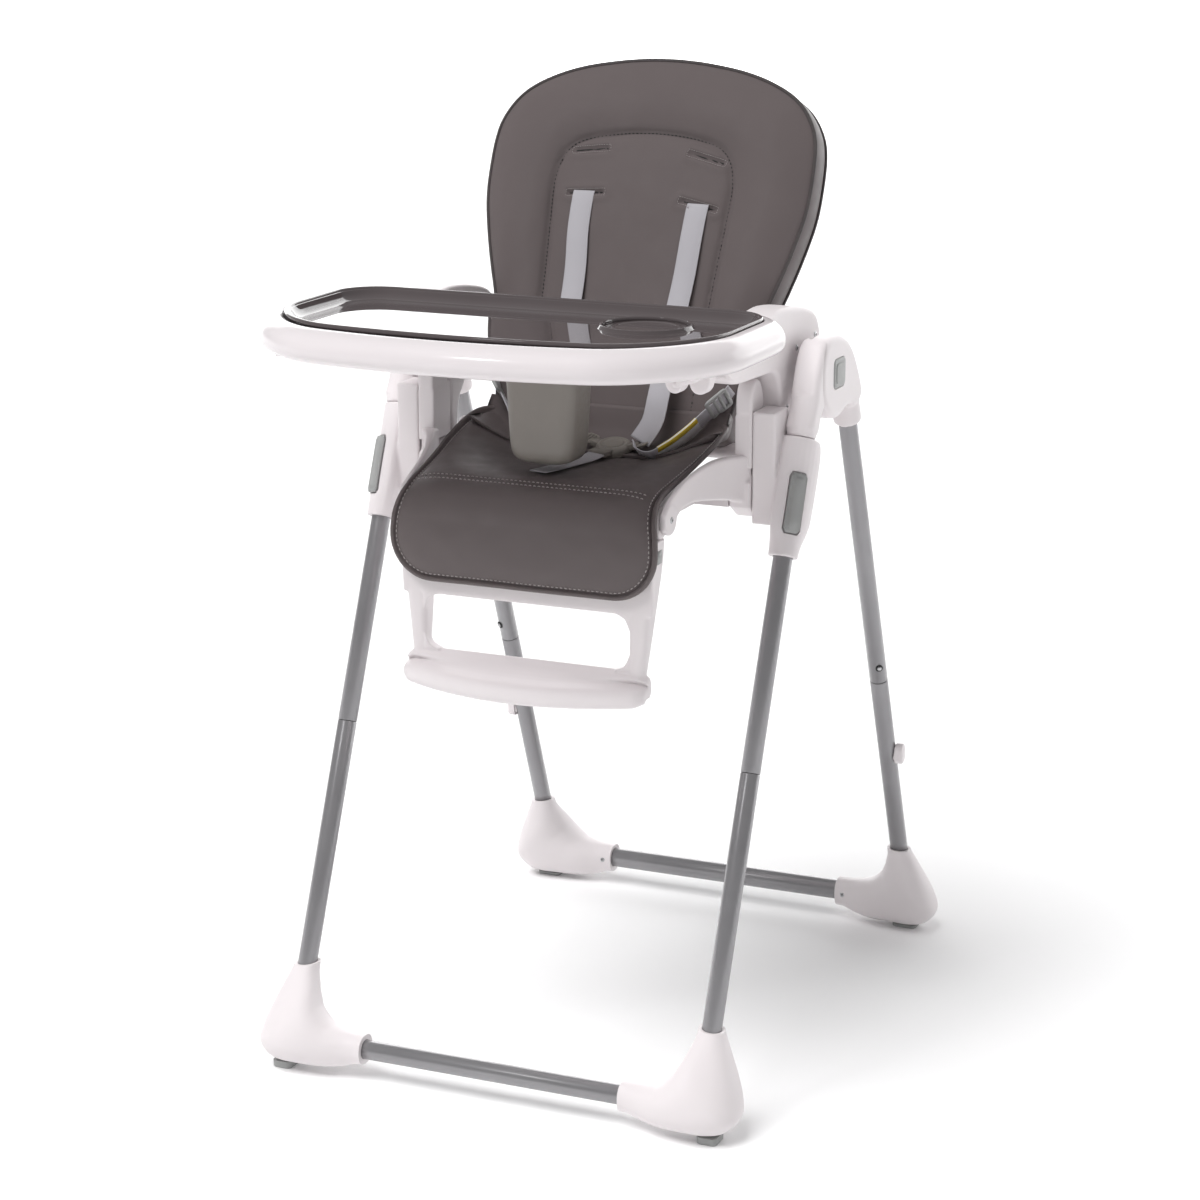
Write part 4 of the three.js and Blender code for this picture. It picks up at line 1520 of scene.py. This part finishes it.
def shell_ring(inset, n, t=1.0):
    """The cushion's outline drawn in towards its middle by an inset, so that no corner folds over."""
    flat = BACK_CENTRE + arms_out * (1 - (SHELL_INSET + inset) / reach_out) * t
    return [on_back(x, s, n) for x, s in flat]


shell_rings = [shell_ring(inset, n) for inset, n in smooth_row(SHELL, 3)]
shell_rings += [shell_ring(25, -44, t) for t in (0.8, 0.5, 0.2)]
ribs = []
for x in (-62, 62):
    ribs.append(plate([(x - 9, 40), (x + 9, 40), (x + 9, 330), (x - 9, 330)], "z", 0, 5.6, 2, rounds=2))
rib_shells = [([on_back(x, s, -44 - n + 0.6) for x, s, n in p], f) for p, f in ribs]
barrel = rod((-179, *RECLINE), (179, *RECLINE), 9.5, 48, 1)
links = []
for side in (1, -1):
    section = round_corners(side * 117, -38, 17, 9.5, 3)
    links.append(skin([[on_back(x, s, n) for x, n in section] for s in (0.5, 4, 16, 26)]))
shell = link_mesh("back_shell", *join_shells(skin(shell_rings), barrel, *links, *rib_shells), WHITE)
belongs(crisp(shell, 45), "backrest", ("backrest_shell",))
GRIP = [  # height up the back, half width, rear and front face
    (349, 38, -60, -51.5),
    (351, 43, -62, -51),
    (358, 44, -62.2, -51),
    (372, 44, -62.2, -51),
    (378, 43, -62, -51),
    (380, 38, -60, -51.5),
]
handle_rings = []
for s, w, n0, n1 in smooth_row(GRIP, 4):
    section = round_corners(0, (n0 + n1) / 2, w, (n1 - n0) / 2, 3.5, 5)
    handle_rings.append([on_back(x, s, n) for x, n in section])
belongs(link_mesh("recline_grip", *skin(handle_rings), GREY), "recline_handle", ("recline_handle",))
to_rear = (0, math.cos(BACK_ANGLE), -math.sin(BACK_ANGLE))
back_screw_spots = []
for x, s in ((112, 70), (124, 250), (62, 380)):
    back_screw_spots += [(on_back(x, s, -50.0), to_rear, 3.2), (on_back(-x, s, -50.0), to_rear, 3.2)]
screws("back_screws", back_screw_spots, "backrest")

# %% [markdown]
# ## The seat cushion and calf flap
# The seat and the flap are one piece of padded cloth, bound with a tape all round. The pattern is a
# long tongue: flat on the seat, bent over the front edge and hanging in front of the calves. When the
# leg rest swings up, the cloth bends at that edge. The script works out where that bend starts and ends, but
# joins the piece to neither body.

# %% the line that the cushion follows
SEAT_LINE = [  # y, z from the crease at the rear to the lower edge of the flap
    (-36, 694),
    (-44, 680),
    (-60, 672.6),
    (-110, 671.2),
    (-160, 671.2),
    (-210, 671.2),
    (-236, 670.8),
    (-256, 667.6),
    (-269, 658),
    (-275.5, 645),
    (-278.5, 628),
    (-280.2, 602),
    (-281.8, 569),
]
seat_path = evenly(smooth_row(SEAT_LINE, 12), 400, closed=False)
seat_reach = np.concatenate([[0], np.cumsum(np.linalg.norm(np.diff(seat_path, axis=0), axis=1))])
SEAT_LENGTH = seat_reach[-1]
seat_along = np.gradient(seat_path, axis=0)
seat_along /= np.linalg.norm(seat_along, axis=1, keepdims=True)


# %% the pattern on its line
def side_rise(x):
    """How much the sides of the seat stand up, from nothing in the middle to 1 at the edge."""
    return min(1.0, max(0.0, (abs(x) - 62) / 98)) ** 1.7


def on_seat(x, l, n):
    """A point of the seat cushion: x across, l along its line from the rear, n out of its plane."""
    y, z = (np.interp(l, seat_reach, seat_path[:, k]) for k in (0, 1))
    dy, dz = (np.interp(l, seat_reach, seat_along[:, k]) for k in (0, 1))
    size = math.hypot(dy, dz)
    rear = max(0.0, (235 - l) * 0.245)
    return (x, y + dz / size * n, z - dy / size * n + rear * side_rise(x))


bend_at = seat_reach[np.argmin(np.hypot(seat_path[:, 0] + 266, seat_path[:, 1] - 661))]
FLAP_W = 161
FLAP_R = 52
flap_low = []
for a in np.linspace(0, math.pi / 2, 14):
    flap_low.append((FLAP_W - FLAP_R + FLAP_R * math.cos(a), SEAT_LENGTH - FLAP_R + FLAP_R * math.sin(a)))
seat_right = [
    (104, 0), (126, 5), (146, 18), (157, 40), (160.5, 76), (159, 120), (155, 160), (151.5, bend_at - 40),
    (152, bend_at - 14)
]
seat_right += [(156, bend_at + 6), (159.5, bend_at + 22), (FLAP_W, SEAT_LENGTH - 56)]
seat_half = [tuple(p) for p in smooth_row(seat_right, 8)] + flap_low
seat_outline = np.array(seat_half + [(-x, l) for x, l in reversed(seat_half)])
seat_outline = evenly(seat_outline, 300)
BIND = 6.4


# %% height of the seat cushion
def seat_height_at(flat):
    """Thickness of the seat cushion above its line: a rolled binding, a seam, then the padding."""
    edge = distance_to(flat, seat_outline, True)
    x, l = flat[:, 0], flat[:, 1]
    on_flap = np.clip((l - bend_at) / 26, 0, 1)
    full = 15.2 - 4.4 * on_flap
    roll = 3.2 + 4.2 * np.sqrt(np.clip(1 - ((edge - BIND / 2) / (BIND / 2)) ** 2, 0, 1))
    pad = 5.2 + (full - 5.2) * (1 - np.exp(-(edge - BIND) / 15))
    height = np.where(edge < BIND, roll, pad)
    height -= 1.8 * np.exp(-(((edge - BIND) / 1.3) ** 2))
    height -= 1.3 * np.exp(-(((l - bend_at + 17) / 5.5) ** 2)) * np.clip((edge - BIND) / 10, 0, 1)
    down_flap = np.clip((l - bend_at) / (SEAT_LENGTH - bend_at), 0, 1)
    height += 0.7 * on_flap * np.sin(x / 23.0 + 0.6) * down_flap
    return height


SEAT_CENTRE = (0, SEAT_LENGTH * 0.5)
seat_shares = np.concatenate([np.linspace(0.02, 0.88, 56), np.linspace(0.888, 1, 30)])
top_rings = []
for ring in radial(seat_outline, SEAT_CENTRE, seat_shares):
    off_seam = np.clip(distance_to(ring, seat_outline, True) / 25, 0, 1)
    rise = seat_height_at(ring) + crumple(ring, 0.9, 11) * off_seam
    top_rings.append([on_seat(x, l, n) for (x, l), n in zip(ring, rise)])
under_rings = []
for ring in radial(seat_outline, SEAT_CENTRE, seat_shares[::-3]):
    edge = distance_to(ring, seat_outline, True)
    under_rings.append([on_seat(x, l, n) for (x, l), n in zip(ring, 0.3 + 2.4 * np.exp(-edge / 3))])
seat_pad = link_mesh("seat_cushion", *skin(top_rings + under_rings), COVER)
bend_start, bend_end = on_seat(0, bend_at - 34, 0), on_seat(0, bend_at + 26, 0)
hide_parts("seat_pad", "legrest_pad")
BEND = dict(start=metres([bend_start])[0].tolist(), end=metres([bend_end])[0].tolist())
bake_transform(seat_pad)
print("seat cushion:", round(SEAT_LENGTH), "mm long, bends at", round(float(bend_at)))

# %% the crease between seat and backrest
CREASE = [(-104, 690.5), (-84, 691.5), (-66, 696), (-55, 705), (-48, 718), (-42, 734)]
crease_rings = []
for x in np.linspace(-150, 150, 49):
    line = smooth_row(CREASE, 4)
    lift = 38 * side_rise(x)
    upper = [(x, y, z + lift * (1 - k / len(line))) for k, (y, z) in enumerate(line)]
    lower = [(x, y + 9, z - 9 + lift * (1 - k / len(line))) for k, (y, z) in enumerate(line)]
    crease_rings.append(upper + lower[::-1])
crease = link_mesh("seat_crease", *skin(crease_rings), COVER)
CREASE_BLEND = metres([(0, -84, 690)])[0].tolist(), metres([(0, -44, 728)])[0].tolist()
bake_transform(crease)


# %% its stitching
def inner_line(inset):
    """The outline moved inwards, kept to the visible front and sides."""
    line = seat_outline - outward(seat_outline) * inset
    return line[line[:, 1] > 40]


def seat_stitches(name, line, **look):
    line = evenly(line, len(line) * 5, closed=False)
    rise = seat_height_at(line)
    path = np.array([on_seat(x, l, n + 0.4) for (x, l), n in zip(line, rise)])
    facing = np.array([on_seat(x, l, 5) for x, l in line]) - np.array([on_seat(x, l, 0) for x, l in line])
    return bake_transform(stitches(name, path, facing, None, **look))


edge_row = inner_line(BIND + 2.6)
first = int(np.argmax(np.linalg.norm(np.diff(edge_row, axis=0), axis=1)))
if np.linalg.norm(edge_row[first + 1] - edge_row[first]) > 20:
    edge_row = np.roll(edge_row, -(first + 1), 0)
BOLD = dict(length=3.1, gap=2.2, r=0.62)
seat_stitches("seat_edge_stitches", edge_row, **BOLD)
for k, shift in enumerate((-3.2, 3.2)):
    bend_row = [(x, bend_at - 17 + shift) for x in np.linspace(-139, 139, 40)]
    seat_stitches(f"bend_stitches_{k}", bend_row, **BOLD)

# %% [markdown]
# ## The leg rest
# Two arms turn on the ears of the seat. They carry a frame behind the flap, an open window, and a
# shelf for the feet with a bowed, rounded lip. The shelf is a loft across the chair: its section is
# drawn once, and the lip moves back towards the ends.

# %% leg rest arms and frame
arm_shell = join_shells(
    rod((141, *LEGREST), (153.2, *LEGREST), 15, 48, 1),
    plate([(-260, 634.6), (-240, 634.6), (-236, 655), (-260, 655)], "x", 141, 153.2, 1.5, rounds=1),
)
pair(moulded(link_mesh("rest_arm", *arm_shell, WHITE), 1.1, 4), "legrest", "legrest_arm")

COLUMN = [
    (634, 153, -238), (612, 152, -238), (580, 149.5, -242), (527, 144.5, -249), (474, 139.5, -257),
    (455, 138, -260)
]
WINDOW = (123, 489, 551.5)  # half width, low and high edge


def column(side):
    """One side of the frame, narrower towards the foot shelf: (height, outer edge, rear edge)."""
    rings = []
    for z, outer, rear in smooth_row(COLUMN, 4):
        mid, half_w = (outer + WINDOW[0]) / 2, (outer - WINDOW[0]) / 2
        flat = round_corners(side * mid, (rear - 275) / 2, half_w, (rear + 275) / 2, 7)
        rings.append([(x, y, z) for x, y in flat])
    return skin(rings)


def window_fillet(side, z, up):
    """The round inner corner of the window, r 16."""
    w = WINDOW[0]
    curve = arc(side * (w - 16), z + up * 16, 16, 0, 90)
    mid_x, mid_z = side * (w - 16), z + up * 16
    curve = [(mid_x + side * abs(x - mid_x), mid_z - up * abs(h - z - up * 16)) for x, h in curve]
    curve += [(mid_x, z - up * 2), (side * (w + 2), z - up * 2), (side * (w + 2), z + up * 16)]
    return plate(curve, "y", -275, -262, 1.5, rounds=0)


# %% the foot shelf
def shelf_section(x):
    """The foot shelf cut along the chair, at x across it: (y, z) pairs from the back round the lip."""
    t = (x / 146) ** 2
    lip = -332 + 40 * t
    low = 448.8 + 6 * t
    return [
        (-262, 489),
        (-272, 486),
        (-284, 480.5),
        (lip + 30, 475.8),
        (lip + 16, 474.2),
        (lip + 8, 473.2),
        (lip + 3, 470.4),
        (lip + 0.6, 466.5),
        (lip, 461),
        (lip + 1.6, 455),
        (lip + 6, 451),
        (lip + 14, low),
        (-275, low + 3),
        (-262, 456),
    ]


shelf_rings = []
for x in np.concatenate([[-146.6], np.linspace(-145, 145, 41), [146.6]]):
    section = np.array(shelf_section(x))
    pinch = np.clip((abs(x) - 134) / 12, 0, 1) ** 2
    section[:, 1] += (464 - section[:, 1]) * 0.3 * pinch
    section[:, 0] += 6 * pinch * (section[:, 0] < -280)
    shelf_rings.append([(x, y, z) for y, z in evenly(soften(section, 1), 48)])
board = plate(
    [(-151, 551.5), (151, 551.5), (152.5, 634), (-152.5, 634)], "y", -275, -266, 1.5, 2.5, rounds=0
)
fillets = [window_fillet(side, z, up) for side in (1, -1) for z, up in ((WINDOW[1], 1), (WINDOW[2], -1))]
rest_shells = join_shells(board, column(1), column(-1), skin(shelf_rings), *fillets)
rest = moulded(link_mesh("rest_frame", *rest_shells, WHITE), 1.35, 10)
belongs(rest, "legrest", ("footrest_frame",))
# Thin grey slabs on each side of the frame paint the shade inside the latch holes.
latch_shades = []
for side in (1, -1):
    shade_patch = [
        (side * 153, -263, 623), (side * 153, -250, 623), (side * 152.6, -250, 608),
        (side * 152.6, -263, 608)
    ]
    back = [(x - side * 1.2, y, z) for x, y, z in shade_patch]
    latch_shades.append(skin([shade_patch, back]))
belongs(link_mesh("latch_hole_shade", *join_shells(*latch_shades), GREY), "legrest", slot="grey_plastic")
print("leg rest faces:", len(rest.data.polygons))

# %% [markdown]
# ## The harness
# Polyester tape is woven flat, so it bends easily one way and hardly at all the other. Each strap is a
# thin section swept along its route. The shoulder straps come out of the lower slots, lie on the
# backrest and hang free to the buckle. Two points where they pass from the backrest to the seat are worked
# out, but the straps are joined to neither body.

# %% tape
TAPE_SECTION = [(-1, -0.7), (-0.97, -1), (0.97, -1), (1, -0.7), (1, 0.7), (0.97, 1), (-0.97, 1), (-1, 0.7)]


def tape(name, route, width, wide=(1, 0, 0), thick=1.5):
    """A strap of woven tape along a route of points."""
    line = smooth_row(route, 10)
    section = [(u * width / 2, v * thick / 2) for u, v in TAPE_SECTION]
    return link_mesh(name, *skin(sweep(line, section, wide)), TAPE)


def hem(name, route, width, side):
    """The slightly thicker woven edge of a strap."""
    line = smooth_row(route, 10)
    section = [(side * width / 2 + u, v) for u, v in cord_section(0.95, 8)]
    return link_mesh(name, *skin(sweep(line, section, (1, 0, 0))), TAPE)


BUCKLE = (27, -90, 696)
SHOULDER_LOW = metres([(58, -82, 705)])[0].tolist()
SHOULDER_HIGH = metres([on_back(64, 130, 4)])[0].tolist()
for side in (1, -1):
    label = "right" if side > 0 else "left"
    end = (side * 42 + 14, -84, 703)
    a, b = (71, 69) if side > 0 else (74, 68)
    top = 277.5 if side > 0 else 286
    route = [on_back(side * a, top, -2), on_back(side * a, top - 3, 3.4), on_back(side * (a - 1), 240, 5.4)]
    route += [
        on_back(side * b, 190, 6.2), on_back(side * (b - 2), 140, 10), on_back(side * (b - 1), 95, 17)
    ]
    route += [(side * (b - 2) + 2, -60, 752), (side * (b - 6) + 4, -73, 725), end]
    strap = tape(f"shoulder_tape_{label}", route, 25)
    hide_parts("shoulder_strap_" + label)
    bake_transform(strap)
    for edge_side in (1, -1):
        made = hem(f"shoulder_edge_{label}_{edge_side + 1}", route, 25, side=edge_side)
        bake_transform(made)
    waist = [
        (side * 40 + 14, -88, 697), (side * 62, -99, 693), (side * 80, -104, 692), (side * 98, -88, 703)
    ]
    waist += [
        (side * 112, -68, 717), (side * 125, -57, 732), (side * 138, -48, 745), (side * 149, -37, 762)
    ]
    made = tape(f"waist_tape_{label}", waist, 23, (0, 0.75, -0.6))
    belongs(made, "seat", ("waist_strap_" + label,), "webbing")

# %% label band on the right waist strap
band = [(86, -101.5, 694.5), (98, -88, 703), (105, -77.5, 709.6), (112, -68, 717), (119, -61.5, 725)]
for name, section, finish in (
    ("plain_label", [(u * 12, v * 1.1) for u, v in TAPE_SECTION], LABEL_PALE),
    ("plain_label_stripe", [(u * 4 - 7.8, v * 1.4) for u, v in TAPE_SECTION], LABEL_WARM),
):
    shell = skin(sweep(smooth_row(band, 8), section, (0, 0.75, -0.6)))
    belongs(link_mesh(name, *shell, finish), "seat", slot="webbing")


# %% slide adjusters on the waist straps
def frame_bar(w, h, r, centre, wide, tall):
    """A rectangular wire frame, as a slide adjuster is."""
    wide, tall = np.array(wide, float), np.array(tall, float)
    wide /= np.linalg.norm(wide)
    tall -= wide * tall.dot(wide)
    tall /= np.linalg.norm(tall)
    face = np.cross(wide, tall)
    loop = round_corners(0, 0, w, h, 3, 4)
    rings = []
    for k, (u, v) in enumerate(loop):
        a, b = np.array(loop[k - 1]), np.array(loop[(k + 1) % len(loop)])
        d = (b - a) / np.linalg.norm(b - a)
        out = np.array([d[1], -d[0]])
        ring = []
        for t in np.arange(10) / 10 * 2 * math.pi:
            p = np.array([u, v]) + out * r * math.cos(t)
            ring.append(np.array(centre) + wide * p[0] + tall * p[1] + face * r * 0.75 * math.sin(t))
        rings.append(ring)
    rings.append(rings[0])
    bars = [skin(rings, closed_ends=False)]
    for v in (-0.15, 0.15):
        ends = [np.array(centre) + wide * (s * w) + tall * (v * h * 2) for s in (-1, 1)]
        bars.append(rod(ends[0], ends[1], r * 0.8, 12, 0.2))
    return join_shells(*bars)


for side in (1, -1):
    shells = frame_bar(15.5, 13, 2.7, (side * 139, -50, 747), (0, 0.75, -0.6), (side * 0.7, 0.45, 0.75))
    label = "right" if side > 0 else "left"
    belongs(link_mesh("waist_slide_" + label, *shells, GREY), "seat", slot="grey_plastic")

# %% buckle
bx, by, bz = BUCKLE
dome = [
    (0, 19.4), (1, 20.6), (5, 21), (8.5, 20.2), (10.6, 18.2), (11.4, 15.6), (10.9, 14.4), (10.7, 12.4),
    (11.6, 11.4), (12.1, 8), (12.2, 3), (12.2, 0.2)
]
body_shell = turned((bx, by, bz - 6), (0.02, -0.22, 1), [(t, r) for t, r in smooth_row(dome, 3)], 64)
wings = []
for side in (1, -1):
    root, tip = np.array([bx + side * 15, by + 2, bz]), np.array([bx + side * 29, by + 6, bz + 3])
    section = [(u * 9, v * 3.4) for u, v in TAPE_SECTION]
    wings.append(skin(sweep([root, (root + tip) / 2, tip], section, (0, 1, 0))))
    wings.append(
        frame_bar(12.5, 5.5, 2.0, (bx + side * 33, by + 9, bz + 5), (0, 1, 0.1), (side, 0.2, 0.35))
    )
neck_route = [(bx - 4, by - 14, bz - 2), (bx - 7, by - 22, bz - 3), (bx - 9, by - 30, bz - 4)]
neck = skin(sweep(neck_route, [(u * 12, v * 3.2) for u, v in TAPE_SECTION], (1, 0, 0)))
buckle_shell = join_shells(body_shell, neck, *wings)
belongs(link_mesh("harness_buckle", *buckle_shell, TAUPE), "seat", ("buckle",), "grey_plastic")
tail_route = [
    (bx - 8, by - 26, 693), (14, -136, 690), (6, -162, 689), (0, -186, 688.8), (-4, -205, 689.4),
    (-8, -222, 690)
]
belongs(tape("crotch_tape", tail_route, 23), "seat", ("crotch_strap",), "webbing")
